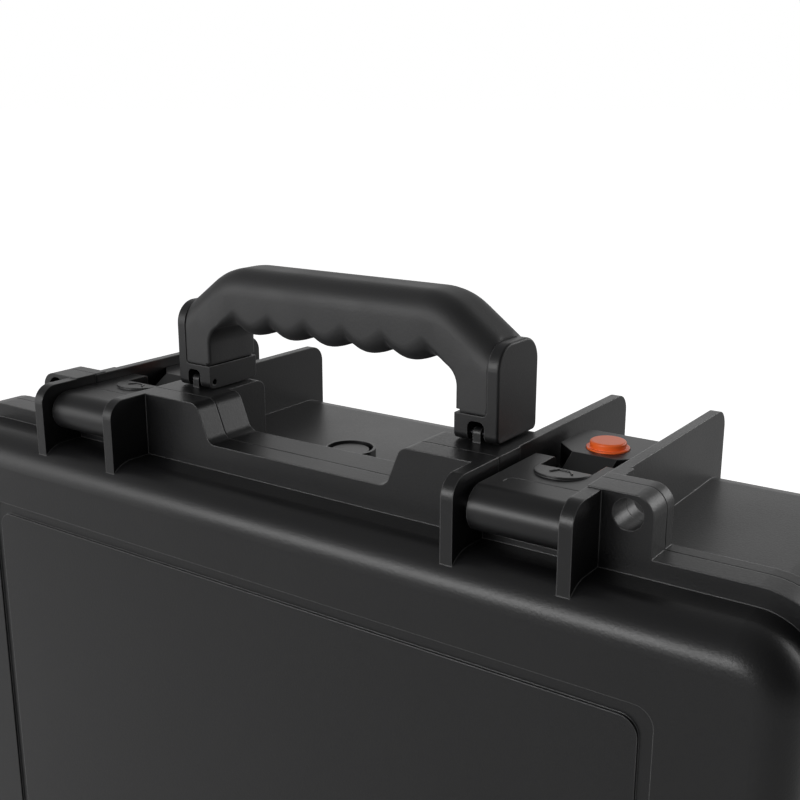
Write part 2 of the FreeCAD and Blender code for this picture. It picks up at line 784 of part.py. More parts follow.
def build_feet():
    inset = S["foot_inset"]
    half = S["foot_length"] / 2 - inset
    base = plain_box(-half, half, SEAM + S["foot_start"] + inset, SEAM + S["base_foot_reach"] - inset)
    lid = plain_box(-half, half, SEAM - S["lid_foot_reach"] + inset, SEAM - S["foot_start"] - inset)
    for shell, outline in (("base", base), ("lid", lid)):
        for name, side in SIDES:
            body = new_body(f"foot_{shell}_{name}")
            grow(body, f"foot_{shell}_{name}_pad", "XY_Plane", ZERO, [outline], S["foot_pad"])
            place(body, side, FOOT_PLACE)


# Latches, each drawn about its own middle plane

def crease_band():
    """A fine groove across the lever behind its barrel, with one end turned forward."""
    left = -S["crease_start"]
    right = S["lever_half"] + S["overrun"]
    front = LATCH_Y + S["crease_front"]
    far = LATCH_Y + S["crease_place"]
    wide = S["crease_width"]
    return [(left, front), (left + wide, front), (left + wide, far - wide, S["crease_round"] - wide),
            (right, far - wide), (right, far), (left, far, S["crease_round"])]


def build_lever(name, side):
    label = f"latch_lever_{name}"
    body = new_body(label)
    half = S["lever_half"]
    width = half * 2
    barrel = [(LATCH_Y, LATCH_Z, S["barrel_radius"])]
    grow(body, f"{label}_barrel", "YZ_Plane", -half, barrel, width)
    low = LEVER_TOP - S["lever_plate"]
    plate = [(LATCH_Y, low), (LEVER_TIP, low), (LEVER_TIP, LEVER_TOP, S["lever_round"]),
             (LATCH_Y, LEVER_TOP)]
    grow(body, f"{label}_plate", "YZ_Plane", -half, [plate], width)
    hook_top = LEVER_TOP - S["lever_plate"] / 2
    hook = plain_box(LEVER_TIP - S["hook_length"], LEVER_TIP, CREST + S["hook_gap"], hook_top)
    grow(body, f"{label}_hooks", "YZ_Plane", -half, [hook], width)
    thumb_y = LEVER_TIP - S["thumb_place"]
    grow(body, f"{label}_thumb", "XY_Plane", LEVER_TOP, [(ZERO, thumb_y, S["thumb_radius"])],
         S["thumb_rise"])
    thumb_near = thumb_y - S["thumb_radius"]
    notch_y = LEVER_TIP - S["notch_depth"]
    over = LEVER_TOP + S["thumb_rise"] + S["overrun"]
    slope = [(thumb_near, LEVER_TOP + S["thumb_rise"]), (notch_y, LEVER_TOP + S["thumb_low_rise"]),
             (notch_y, over), (thumb_near, over)]
    carve(body, f"{label}_thumb_slope", "YZ_Plane", -S["thumb_radius"], [slope], S["thumb_radius"] * 2)
    notch = plain_box(-S["notch_half"], S["notch_half"], notch_y, LEVER_TIP + S["overrun"])
    carve(body, f"{label}_notch", "XY_Plane", CREST, [notch], over - CREST)
    carve(body, f"{label}_crease", "XY_Plane", LEVER_TOP - S["crease_depth"], [crease_band()],
          S["crease_depth"] + S["overrun"])
    bore = [(LATCH_Y, LATCH_Z, S["latch_pin"] / 2 + S["pin_gap"])]
    carve(body, f"{label}_bore", "YZ_Plane", -half - S["overrun"], bore, width + S["overrun"] * 2)
    place(body, side, S["latch_place"])


def build_latch_pins():
    length = S["bay_width"] + S["latch_pin_seat"] * 2
    middle = S["bay_start"] + S["bay_width"] / 2
    for name, side in SIDES:
        pin = build_pin(f"latch_pin_{name}", -length / 2, length, LATCH_Y, LATCH_Z, S["latch_pin"] / 2)
        place(pin, side, middle)


def build_block(name, side):
    label = f"release_block_{name}"
    body = new_body(label)
    half = S["block_half"]
    tongue = S["tongue_half"]
    plan = [(-tongue, SEAM + S["tongue_start"]), (tongue, SEAM + S["tongue_start"]),
            (tongue, SEAM + S["block_front"]), (half, SEAM + S["block_shoulder"]),
            (half, SEAM + S["block_reach"], S["block_round"]),
            (-half, SEAM + S["block_reach"], S["block_round"]),
            (-half, SEAM + S["block_shoulder"]), (-tongue, SEAM + S["block_front"])]
    grow(body, f"{label}_plan", "XY_Plane", WALL_HIGH, [plan], BLOCK_TOP - WALL_HIGH)
    near_y = SEAM + S["tongue_start"] - S["overrun"]
    ramp_low = CREST + S["ramp_foot_rise"]
    over = BLOCK_TOP + S["overrun"]
    front = SEAM + S["block_front"]
    ramp = [(near_y, ramp_low), (SEAM + S["tongue_start"], ramp_low), (front, BLOCK_TOP),
            (front, over), (near_y, over)]
    carve(body, f"{label}_ramp", "YZ_Plane", -half, [ramp], half * 2)
    well = [(ZERO, BUTTON_Y, S["flange_radius"] + S["button_gap"])]
    carve(body, f"{label}_well", "XY_Plane", SPRING_LOW, well, BLOCK_TOP - SPRING_LOW + S["overrun"])
    stem = S["stem_half"] + S["button_gap"]
    shaft = plain_box(-stem, stem, BUTTON_Y - stem, BUTTON_Y + stem)
    carve(body, f"{label}_shaft", "XY_Plane", BOLT_LOW - S["button_travel"] * 2, [shaft],
          SPRING_LOW - BOLT_LOW + S["button_travel"] * 2 + S["overrun"])
    wide = S["bolt_half"] + S["bolt_gap"]
    far = BUTTON_Y + S["stem_half"] + S["bolt_bar"] + S["bolt_gap"] + S["button_travel"] * 2
    inner = S["bolt_half"] - S["prong_width"] - S["bolt_gap"]
    bar_near = BUTTON_Y - S["stem_half"] - S["bolt_gap"]
    arms = [(-wide, front), (-inner, front), (-inner, bar_near), (inner, bar_near), (inner, front),
            (wide, front), (wide, far), (-wide, far)]
    carve(body, f"{label}_channel", "XY_Plane", BOLT_LOW - S["bolt_gap"], [arms],
          S["bolt_thick"] + S["bolt_gap"] * 2)
    screws = []
    for offset in (-S["screw_place"], S["screw_place"]):
        screws.append((offset, SEAM + S["screw_row"], S["screw"] / 2))
    carve(body, f"{label}_screw_holes", "XY_Plane", WALL_HIGH - S["overrun"], screws,
          S["screw_bite"] + S["overrun"])
    place(body, side, S["latch_place"])


def build_button(name, side):
    label = f"push_button_{name}"
    body = new_body(label)
    grow(body, f"{label}_flange", "XY_Plane", FLANGE_LOW, [(ZERO, BUTTON_Y, S["flange_radius"])],
         S["flange_height"])
    grow(body, f"{label}_cap", "XY_Plane", FLANGE_TOP, [(ZERO, BUTTON_Y, S["cap_radius"])],
         S["cap_height"])
    high = FLANGE_TOP + S["cap_height"]
    round_edges(body, f"{label}_cap_edge", S["cap_round"],
                lambda edge: near(edge.BoundBox.ZMin, high.value))
    stem_half = S["stem_half"]
    far = BUTTON_Y + stem_half
    stem = plain_box(-stem_half, stem_half, BUTTON_Y - stem_half, far)
    grow(body, f"{label}_stem", "XY_Plane", BOLT_LOW, [stem], FLANGE_LOW - BOLT_LOW)
    wedge = [(far + S["overrun"], BOLT_TOP + S["overrun"]), (far, BOLT_TOP),
             (far - S["bolt_thick"] - S["overrun"], BOLT_LOW - S["overrun"]),
             (far + S["overrun"], BOLT_LOW - S["overrun"])]
    carve(body, f"{label}_wedge", "YZ_Plane", -stem_half * 2, [wedge], stem_half * 4)
    place(body, side, S["latch_place"])


def build_bolt(name, side):
    """A fork: two prongs behind the lever's arms, and a bar that the button's wedge pushes back."""
    label = f"lock_bolt_{name}"
    body = new_body(label)
    wide = S["bolt_half"]
    inner = wide - S["prong_width"]
    tip = LEVER_TIP + S["bolt_gap"]
    far = BUTTON_Y + S["stem_half"] + S["bolt_bar"] + S["bolt_gap"]
    bar = BUTTON_Y + S["stem_half"] - S["bolt_thick"]
    fork = [(-wide, tip), (-inner, tip), (-inner, bar), (inner, bar), (inner, tip), (wide, tip),
            (wide, far), (-wide, far)]
    grow(body, f"{label}_fork", "XY_Plane", BOLT_LOW, [fork], S["bolt_thick"])
    face = BUTTON_Y + S["stem_half"] + S["button_gap"]
    slope = [(face + S["overrun"], BOLT_TOP + S["overrun"]),
             (face - S["bolt_thick"] - S["overrun"], BOLT_LOW - S["overrun"]),
             (face - S["bolt_thick"] * 3, BOLT_LOW - S["overrun"]),
             (face - S["bolt_thick"] * 3, BOLT_TOP + S["overrun"])]
    carve(body, f"{label}_slope", "YZ_Plane", -inner, [slope], inner * 2)
    place(body, side, S["latch_place"])


def build_spring(name, side):
    """The coil under a button's flange: a wire that climbs in half turns."""
    label = f"button_spring_{name}"
    wire = S["spring_wire"].value
    radius = S["spring_radius"].value
    halves = round(S["spring_turns"].value * 2)
    climb = (S["spring_space"].value - wire * SPRING_END_SHARE) / halves

    def on_coil(half_turns):
        angle = math.pi * half_turns
        return FreeCAD.Vector(radius * math.cos(angle), radius * math.sin(angle), climb * half_turns)

    arcs = []
    for half in range(halves):
        arcs.append(Part.Arc(on_coil(half), on_coil(half + 0.5), on_coil(half + 1)).toShape())
    tangent = arcs[0].tangentAt(arcs[0].FirstParameter)
    section = Part.Wire([Part.Circle(on_coil(0), tangent, wire / 2).toShape()])
    spring = doc.addObject("Part::Feature", label)
    spring.Label = label
    spring.Shape = Part.Wire(arcs).makePipeShell([section], True, False)
    low = SPRING_LOW.value + wire * SPRING_END_SHARE / 2
    middle = S["latch_place"].value * side
    start = FreeCAD.Vector(middle, BUTTON_Y.value, low)
    spring.Placement = FreeCAD.Placement(start, FreeCAD.Rotation())
    nodes.append(spring)


def build_screws():
    """Four screws from inside the base into the release blocks, made as one group."""
    shapes = []
    head_low = WALL_HIGH - S["wall"] - S["screw_head_height"]
    for side in (-1, 1):
        for offset in (-S["screw_place"], S["screw_place"]):
            x = (S["latch_place"] * side + offset).value
            y = (SEAM + S["screw_row"]).value
            head = Part.makeCylinder(S["screw_head"].value / 2, S["screw_head_height"].value,
                                     FreeCAD.Vector(x, y, head_low.value))
            shank = Part.makeCylinder(S["screw"].value / 2, (S["wall"] + S["screw_bite"]).value,
                                      FreeCAD.Vector(x, y, (WALL_HIGH - S["wall"]).value))
            shapes.append(head.fuse(shank).removeSplitter())
    group = doc.addObject("Part::Feature", "block_screws")
    group.Label = "block_screws"
    group.Shape = Part.makeCompound(shapes)
    nodes.append(group)


# Handle

def grip_outline():
    seat = FOOT_TOP + S["grip_seat"]
    outer = S["handle_half"] - S["end_plate"] - S["grip_end_gap"]
    inner = S["foot_inner"]
    under = CREST + S["grip_under_rise"]
    top = CREST + S["grip_rise"]
    end = CREST + S["grip_end_rise"]
    flat = S["grip_flat_half"]
    notched = inner + S["grip_notch"]
    step = seat + S["grip_notch_rise"]
    return [(notched, seat), (outer, seat, S["seat_round"]), (outer, end), (flat, top, S["grip_shoulder"]),
            (-flat, top, S["grip_shoulder"]), (-outer, end), (-outer, seat, S["seat_round"]),
            (-notched, seat), (-notched, step), (-inner, step), (-inner, under, S["grip_inner_round"]),
            (inner, under, S["grip_inner_round"]), (inner, step), (notched, step)]


def core_outline(low):
    leg_in = S["foot_inner"] + S["core_inset"]
    leg_out = leg_in + S["core_leg"]
    flat = S["core_flat_half"]
    end = CREST + S["core_end_rise"]
    top = CREST + S["core_rise"]
    under = CREST + S["core_under_rise"]
    return [(leg_in, low), (leg_out, low), (leg_out, end), (flat, top), (-flat, top), (-leg_out, end),
            (-leg_out, low), (-leg_in, low), (-leg_in, under), (leg_in, under)]


def build_handle_frame():
    body = new_body("handle_frame")
    core_near = SEAM + S["grip_near"] + (S["grip_deep"] - S["core_deep"]) / 2
    grow(body, "handle_core", "XZ_Plane", core_near, [core_outline(FOOT_TOP - S["overrun"])],
         S["core_deep"])
    near_y = SEAM + S["handle_near"]
    far_y = near_y + S["handle_deep"]
    foot = [(near_y, FOOT_LOW, S["pivot_inset"]), (far_y, FOOT_LOW, S["pad_round"] / 2),
            (far_y, FOOT_TOP), (near_y, FOOT_TOP)]
    sides = [grow(body, "handle_foot", "YZ_Plane", S["foot_inner"], [foot],
                  S["handle_half"] - S["foot_inner"])]
    plate_top = FOOT_LOW + S["end_plate_rise"]
    plate_low = FOOT_TOP - S["overrun"]
    plate = [(near_y, plate_low), (far_y, plate_low), (far_y, plate_top, S["end_plate_round"]),
             (near_y, plate_top, S["end_plate_round"])]
    sides.append(grow(body, "handle_end_plate", "YZ_Plane", S["handle_half"] - S["end_plate"], [plate],
                      S["end_plate"]))
    window_end = S["window_place"] + S["window_width"]
    window_low = FOOT_LOW - S["overrun"]
    window_top = FOOT_LOW + S["window_rise"]
    window = [(S["window_place"], window_low), (window_end, window_low),
              (window_end, window_top, S["window_round"]),
              (S["window_place"], window_top, S["window_round"])]
    sides.append(carve(body, "handle_window", "XZ_Plane", near_y - S["overrun"], [window],
                       S["window_depth"] + S["overrun"]))
    hole = [(PIVOT_Y, PIVOT_Z, S["handle_pin"] / 2 + S["pin_gap"])]
    bore_start = S["foot_inner"] - S["overrun"]
    bore_end = S["handle_pin_start"] + S["handle_pin_length"] + S["pin_gap"]
    sides.append(carve(body, "handle_pin_bore", "YZ_Plane", bore_start, hole, bore_end - bore_start))
    mirror(body, "handle_sides", sides)
    end = S["handle_half"].value
    seat = (S["handle_half"] - S["end_plate"]).value

    def seat_corner(edge):
        bounds = edge.BoundBox
        upright = near(bounds.XMin, bounds.XMax) and near(abs(bounds.XMin), seat)
        return upright and near(bounds.ZMin, FOOT_TOP.value) and near(bounds.ZMax, FOOT_TOP.value)

    def outer_border(edge):
        bounds = edge.BoundBox
        return near(bounds.XMin, bounds.XMax) and near(abs(bounds.XMin), end)

    round_edges(body, "handle_seat_corner", S["seat_round"], seat_corner)
    round_edges(body, "handle_end_border", S["end_plate_edge"], outer_border)


def build_handle_grip():
    body = new_body("handle_grip")
    near_y = SEAM + S["grip_near"]
    grow(body, "grip_arch", "XZ_Plane", near_y, [grip_outline()], S["grip_deep"])
    level = (CREST + S["grip_end_rise"]).value

    def long_top_edge(edge):
        bounds = edge.BoundBox
        return near(bounds.YMin, bounds.YMax) and bounds.ZMin > level - TOLERANCE

    round_edges(body, "grip_top_edge", S["grip_edge"], long_top_edge)
    tip = CREST + S["grip_under_rise"] - S["bump_drop"] - S["bump_tip"]
    high = tip + S["bump_rise"]
    for number in range(5):
        middle = S["bump_pitch"] * (number - 2)
        bump = [(middle - S["bump_run"], high), (middle + S["bump_run"], high),
                (middle, tip, S["bump_radius"])]
        grow(body, f"grip_bump_{number}", "XZ_Plane", near_y, [bump], S["grip_deep"])
    core_near = near_y + (S["grip_deep"] - S["core_deep"]) / 2
    carve(body, "grip_hollow", "XZ_Plane", core_near, [core_outline(FOOT_TOP - S["overrun"])],
          S["core_deep"])


def build_handle_pins():
    half = S["handle_pin_length"] / 2
    for name, side in SIDES:
        pin = build_pin(f"handle_pin_{name}", -half, S["handle_pin_length"], PIVOT_Y, PIVOT_Z,
                        S["handle_pin"] / 2)
        place(pin, side, S["handle_pin_start"] + half)


# Pressure valve on top of the base, drawn about its own axis

def build_valve():
    row = SEAM + S["valve_row"]
    floor = WALL_HIGH + S["valve_floor"]
    top = WALL_HIGH + S["valve_rise"]
    low = WALL_HIGH - S["wall"] - S["valve_stem_length"]
    stem = S["valve_stem"]
    outer = S["valve_radius"]
    inner = outer - S["valve_ring"]

    body = new_body("valve_body")
    turn(body, "valve_body_turned", [
        (S["valve_cap_stem"], low), (stem, low), (stem, WALL_HIGH), (outer, WALL_HIGH),
        (outer, top), (inner, top), (inner, floor), (S["valve_cap_stem"], floor)])
    seal_low = WALL_HIGH - S["overrun"]
    room = S["seal_section"] + S["seal_gap"]
    ring = [(ZERO, ZERO, S["seal_radius"] + room), (ZERO, ZERO, S["seal_radius"] - room)]
    carve(body, "seal_groove", "XY_Plane", seal_low, ring, S["overrun"] + S["seal_section"] + room)
    tie(body, "Placement.Base.y", row)

    cap = new_body("valve_cap")
    cap_top = top - S["valve_cap_sink"]
    turn(cap, "valve_cap_turned", [
        (ZERO, floor - S["valve_floor"]), (S["valve_cap_stem"], floor - S["valve_floor"]),
        (S["valve_cap_stem"], cap_top - S["valve_cap_thick"]),
        (S["valve_cap_radius"], cap_top - S["valve_cap_thick"]), (S["valve_cap_radius"], cap_top),
        (ZERO, cap_top)])
    tie(cap, "Placement.Base.y", row)

    nut = new_body("valve_nut")
    half = S["valve_nut"] / 2
    flat = half * NUT_CORNER_SHARE
    hexagon = [(flat, ZERO), (flat / 2, half), (-flat / 2, half), (-flat, ZERO), (-flat / 2, -half),
               (flat / 2, -half)]
    nut_top = WALL_HIGH - S["wall"]
    grow(nut, "valve_nut_hexagon", "XY_Plane", nut_top - S["valve_nut_height"],
         [hexagon, (ZERO, ZERO, stem)], S["valve_nut_height"])
    tie(nut, "Placement.Base.y", row)

    seal = doc.addObject("Part::Torus", "valve_seal")
    seal.Label = "valve_seal"
    tie(seal, "Radius1", S["seal_radius"])
    tie(seal, "Radius2", S["seal_section"])
    tie(seal, "Placement.Base.y", row)
    tie(seal, "Placement.Base.z", WALL_HIGH + S["seal_section"])
    nodes.append(seal)


# Foam inserts, plain closed solids that stay clear of the shells

def foam_outline():
    room = S["wall"] + S["soft_gap"]
    return rounded_box(WALL_HALF - room, WALL_LOW + room, WALL_HIGH - room,
                       S["wall_corner"] - S["wall"])


def build_foam():
    base = new_body("base_foam")
    start = SEAM + S["base_foam_start"]
    end = BASE_FACE - S["wall"] - S["soft_gap"]
    deep = end - start
    grow(base, "base_foam_block", "XZ_Plane", start, [foam_outline()], deep)
    round_edges(base, "base_foam_edge", S["base_edge"] - S["wall"], lies_at_y(end))
    middle = WALL_LOW + S["case_height"] / 2
    recess = rounded_box(S["laptop_length"] / 2, middle - S["laptop_width"] / 2,
                         middle + S["laptop_width"] / 2, S["laptop_corner"])
    carve(base, "laptop_recess", "XZ_Plane", start - S["overrun"], [recess],
          S["laptop_recess"] + S["overrun"])

    gap = S["relief_gap"]
    high = WALL_HIGH - S["wall"]
    valve_half = S["valve_nut"] / 2 * NUT_CORNER_SHARE + gap
    valve_deep = S["valve_stem_length"] + gap
    valve_row = SEAM + S["valve_row"]
    valve_room = plain_box(-valve_half, valve_half, start - S["overrun"], valve_row + valve_half)
    carve(base, "valve_room", "XY_Plane", high - valve_deep, [valve_room], valve_deep)
    head_half = S["screw_head"] / 2 + gap
    head_deep = S["screw_head_height"] + gap
    row = SEAM + S["screw_row"]
    rooms = []
    for offset in (-S["screw_place"], S["screw_place"]):
        middle = S["latch_place"] + offset
        rooms.append(plain_box(middle - head_half, middle + head_half, row - head_half,
                               row + head_half))
    right_rooms = carve(base, "screw_rooms", "XY_Plane", high - head_deep, rooms, head_deep)
    mirror(base, "screw_rooms_both", [right_rooms])

    lid = new_body("lid_foam")
    lid_start = SEAM - S["lid_foam_start"]
    lid_end = LID_FACE + S["wall"] + S["soft_gap"]
    grow(lid, "lid_foam_block", "XZ_Plane", lid_start, [foam_outline()], lid_start - lid_end, -1)
    round_edges(lid, "lid_foam_edge", S["lid_edge"] - S["wall"], lies_at_y(lid_end))


def check_document():
    for thing in doc.Objects:
        for state in ("Invalid", "Error"):
            if state in thing.State:
                raise RuntimeError(f"{thing.Label} is {state}")
    for node in nodes:
        if node.Shape.isNull() or not node.Shape.isValid():
            raise RuntimeError(f"{node.Label} has no valid shape")
        if node.Shape.Volume <= 0:
            raise RuntimeError(f"{node.Label} has no volume")
    for feature, sign in checked:
        before = feature.BaseFeature.Shape.Volume if feature.BaseFeature else 0
        change = (feature.Shape.Volume - before) * sign
        if change <= 0:
            raise RuntimeError(f"{feature.Label} changed nothing")


build_base_shell()
build_lid_shell()
build_gasket()
build_hinge_pins()
build_feet()
build_latch_pins()
for side_name, side_sign in SIDES:
    build_lever(side_name, side_sign)
    build_block(side_name, side_sign)
    build_button(side_name, side_sign)
    build_bolt(side_name, side_sign)
    build_spring(side_name, side_sign)
build_screws()
build_handle_frame()
build_handle_grip()
build_handle_pins()
build_valve()
build_foam()

doc.recompute()
check_document()
os.makedirs("parts", exist_ok=True)
for node in nodes:
    node.Shape.exportStep(f"parts/{node.Label}.step")
    print(f"{node.Label}: {len(node.Shape.Solids)} solid(s), {node.Shape.Volume:.0f} mm3")
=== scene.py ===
import math

import bmesh
import bpy
from bpy.props import FloatProperty, FloatVectorProperty, IntProperty, PointerProperty
from mathutils import Matrix, Vector


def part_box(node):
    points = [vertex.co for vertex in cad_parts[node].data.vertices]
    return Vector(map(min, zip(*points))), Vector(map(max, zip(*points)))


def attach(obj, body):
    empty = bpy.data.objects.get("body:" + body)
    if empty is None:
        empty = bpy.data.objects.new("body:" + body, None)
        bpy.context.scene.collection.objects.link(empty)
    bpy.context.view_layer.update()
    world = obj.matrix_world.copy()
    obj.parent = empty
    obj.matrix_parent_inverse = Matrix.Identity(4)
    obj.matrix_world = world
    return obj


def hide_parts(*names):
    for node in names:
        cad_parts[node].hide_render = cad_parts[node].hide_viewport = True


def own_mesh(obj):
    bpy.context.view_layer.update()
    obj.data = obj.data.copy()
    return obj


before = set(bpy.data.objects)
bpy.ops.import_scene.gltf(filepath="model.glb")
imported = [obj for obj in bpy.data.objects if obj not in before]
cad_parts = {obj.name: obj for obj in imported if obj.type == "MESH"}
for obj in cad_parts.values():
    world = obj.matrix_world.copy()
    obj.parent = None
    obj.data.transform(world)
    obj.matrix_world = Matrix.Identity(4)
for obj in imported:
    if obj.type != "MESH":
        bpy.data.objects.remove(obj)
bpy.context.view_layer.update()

bl_info = {
    "name": "Laptop hard case finishes",
    "version": (1, 0, 0),
    "blender": (4, 5, 0),
    "location": "3D View > Sidebar > Hard Case",
    "description": "Grip, foam, seals, feet, moulded finishes and a plain studio for the laptop hard case",
    "category": "Object",
}

MM = 0.001


def linear(hex_text):
    """Linear colour of an sRGB hex value, as shader sockets take it."""
    parts = [int(hex_text[i:i + 2], 16) / 255 for i in (1, 3, 5)]
    return tuple(c / 12.92 if c <= 0.04045 else ((c + 0.055) / 1.055) ** 2.4 for c in parts) + (1.0,)


def colour_property(name, description, hex_text):
    return FloatVectorProperty(name=name, description=description, default=linear(hex_text), size=4,
                               min=0.0, max=1.0, subtype="COLOR")


def length_property(name, description, default, low=0.0):
    return FloatProperty(name=name, description=description, default=default, min=low,
                         subtype="DISTANCE", unit="LENGTH")


class ShellFinishes(bpy.types.PropertyGroup):
    """Colours and grain of the moulded plastic pieces."""
    shell: colour_property("Shell", "Moulded polypropylene of the two shells", "#121213")
    hardware: colour_property("Latches", "Glass-filled nylon of levers and blocks", "#131314")
    carrier: colour_property("Handle frame", "Glass-filled nylon of the handle frame", "#141415")
    button: colour_property("Button", "Orange ABS of the push buttons", "#f8692a")
    valve: colour_property("Valve", "Black ABS of the pressure valve", "#202021")
    grain: length_property("Grain", "Width of one pit of the moulded grain", 0.0009, 0.0001)
    edge: length_property("Edge radius", "Small radius that every moulded edge keeps", 0.0006)


class GripSizes(bpy.types.PropertyGroup):
    """Shape and colour of the soft grip."""
    colour: colour_property("Grip", "Soft-touch elastomer of the grip", "#19191a")
    top_round: length_property("Top rounding", "Radius along the upper edges", 0.010)
    shoulder: length_property("Shoulder", "Radius between the top and its sloping ends", 0.030, 0.001)
    under_round: length_property("Under rounding", "Radius under each finger bump", 0.0072)
    groove_round: length_property("Groove rounding", "Radius at each finger groove", 0.0095)
    leg_round: length_property("Leg rounding", "Radius along the inner edges of the legs", 0.0016)
    bump_pitch: length_property("Finger pitch", "Distance between two finger bumps", 0.0202, 0.001)
    bump_radius: length_property("Bump radius", "Radius of each bump seen from the front", 0.0185, 0.001)
    bump_drop: length_property("Bump drop", "How far each bump hangs below the grooves", 0.0026)
    bump_count: IntProperty(name="Bumps", description="Finger bumps under the grip", default=5, min=1)
    leg: length_property("Leg", "Width of each leg seen from the front", 0.0139)
    arch: length_property("Arch", "Height of the underside above the grip's feet", 0.0183)
    end_drop: length_property("End drop", "Depth of the sloping ends below the top", 0.016)
    end_run: length_property("End run", "Length of the sloping ends", 0.0216)
    arch_corner: length_property("Arch corner", "Radius between a leg and the underside", 0.009)
    lip: length_property("Lip", "Fine rounding where the grip meets the frame", 0.0005)


class FoamSizes(bpy.types.PropertyGroup):
    """Foam inside both shells."""
    colour: colour_property("Foam", "Charcoal polyurethane foam", "#2c2d2f")
    pitch: length_property("Crate pitch", "Distance between two peaks of the lid foam", 0.026, 0.001)
    depth: length_property("Crate depth", "Depth from peak to valley of the lid foam", 0.010)
    voxel: length_property("Cell", "Size of the cells that the foam is remeshed to", 0.0028, 0.0005)
    border: length_property("Border", "Flat border round the egg-crate face", 0.012, 0.001)
    skin: length_property("Skin", "Depth below the face that moves with its waves", 0.006, 0.001)
    skin_fade: length_property("Skin fade", "Depth over which the waves come in", 0.0045, 0.001)


class RubberSizes(bpy.types.PropertyGroup):
    """Gasket, valve ring and feet."""
    seal: colour_property("Seals", "Black silicone of gasket and valve ring", "#161617")
    feet: colour_property("Feet", "Black rubber of the feet", "#1c1c1c")
    ribs: IntProperty(name="Ribs", description="Ribs under each long foot", default=12, min=2)
    rib_depth: length_property("Rib depth", "Depth of the slots between ribs", 0.0008)
    slot_mouth: length_property("Slot mouth", "Width of a slot between ribs at the floor", 0.0018)
    slot_root: length_property("Slot root", "Width of a slot between ribs at its root", 0.0012)
    foot_round: length_property("Foot rounding", "Rounding of a foot's long edges", 0.0005)
    long_foot: length_property("Long foot", "A foot longer than this has all the ribs", 0.030)
    gasket: length_property("Gasket", "Width of the gasket", 0.0034, 0.0001)
    gasket_corner: length_property("Gasket corner", "Inner radius of the gasket's corners", 0.0218)


class ThumbMarkSizes(bpy.types.PropertyGroup):
    """Small raised mark on each latch's thumb disc."""
    thick: length_property("Thickness", "Width of each arm", 0.0009)
    height: length_property("Height", "How far the mark stands up", 0.0004)
    root: length_property("Root", "How far the mark reaches into the disc", 0.0003)
    ledge: length_property("Ledge", "From the lever's tip to the edge that the disc ends at", 0.0128)
    dip: length_property("Dip", "Height of the disc's low edge below the lever's top", 0.0008)
    run: length_property("Run", "Length over which the disc slopes by that much", 0.0119, 0.001)


class SpringSizes(bpy.types.PropertyGroup):
    """Springs under the buttons."""
    colour: colour_property("Springs", "Music wire of the springs", "#8f9092")
    wire: length_property("Wire", "Diameter of the wire", 0.0005, 0.0001)
    turns: FloatProperty(name="Turns", description="Turns of each spring", default=2.5, min=1.0)
    travel: length_property("Travel", "How far a button goes down", 0.0025)


class StageSettings(bpy.types.PropertyGroup):
    """Floor, light and camera."""
    floor: colour_property("Floor", "Matte white floor", "#e9e9e9")
    key: FloatProperty(name="Key light", description="Power of the softbox in front, a little to the left",
                       default=4.9, min=0.0, unit="POWER")
    side: FloatProperty(name="Side light", description="Power of the tall softbox at the left",
                        default=0.8, min=0.0, unit="POWER")
    back: FloatProperty(name="Back light", description="Power of the softbox behind the right end",
                        default=2.6, min=0.0, unit="POWER")
    sky: FloatProperty(name="Sky", description="Strength of the surroundings as a light",
                       default=0.31, min=0.0)
    room_left: FloatProperty(name="Room at left", description="Level that glossy faces see at the left",
                             default=0.34, min=0.0)
    room_right: FloatProperty(name="Room at right", description="Level that glossy faces see at the right",
                              default=0.08, min=0.0)
    glow: FloatProperty(name="Glow", description="What the lit floor needs to look white",
                        default=0.82, min=0.0)
    glow_mirrored: FloatProperty(name="Mirrored glow", description="Share of the glow that glossy faces see",
                                 default=0.15, min=0.0, max=1.0)
    reach: length_property("Reach", "Half the width of the floor", 60.0)
    drop: length_property("Drop", "Gap between the floor and the feet", 0.0002)
    grid: FloatProperty(name="Grid", description="Angle to which honeycomb grids narrow the softboxes",
                        default=math.radians(100), subtype="ANGLE")
    azimuth: FloatProperty(name="Azimuth", description="Turn of the camera to the right end",
                           default=math.radians(35.04), subtype="ANGLE")
    tilt: FloatProperty(name="Tilt", description="How far the camera looks down",
                        default=math.radians(14.95), subtype="ANGLE")
    roll: FloatProperty(name="Roll", description="Roll of the camera", default=math.radians(0.05),
                        subtype="ANGLE")
    eye: FloatVectorProperty(name="Eye", description="Place of the camera", default=(0.2798, -0.3771, 0.4702),
                             subtype="TRANSLATION", unit="LENGTH")
    lens: FloatProperty(name="Lens", description="Focal length of the camera", default=50.64, min=1.0,
                        unit="CAMERA")


GROUPS = {"case_shell": ShellFinishes, "case_grip": GripSizes, "case_foam": FoamSizes,
          "case_rubber": RubberSizes, "case_thumb": ThumbMarkSizes, "case_spring": SpringSizes,
          "case_stage": StageSettings}


# Materials

def add_node(tree, kind, sockets=None, **settings):
    """Adds one node. Settings are its own properties; sockets takes plain values and other nodes' outputs."""
    made = tree.nodes.new(kind)
    for name, value in settings.items():
        setattr(made, name, value)
    for key, value in (sockets or {}).items():
        if isinstance(value, bpy.types.NodeSocket):
            tree.links.new(value, made.inputs[key])
        else:
            made.inputs[key].default_value = value
    return made


def per_length(metres):
    """Texture scale at which one cell or wave is this long on the object."""
    return 1.0 / metres


def start_material(name):
    material = bpy.data.materials.new(name)
    material.use_nodes = True
    tree = material.node_tree
    tree.nodes.clear()
    place = add_node(tree, "ShaderNodeTexCoord").outputs["Object"]
    return material, tree, place


def finish_material(tree, shader):
    add_node(tree, "ShaderNodeOutputMaterial", {"Surface": shader.outputs["BSDF"]})


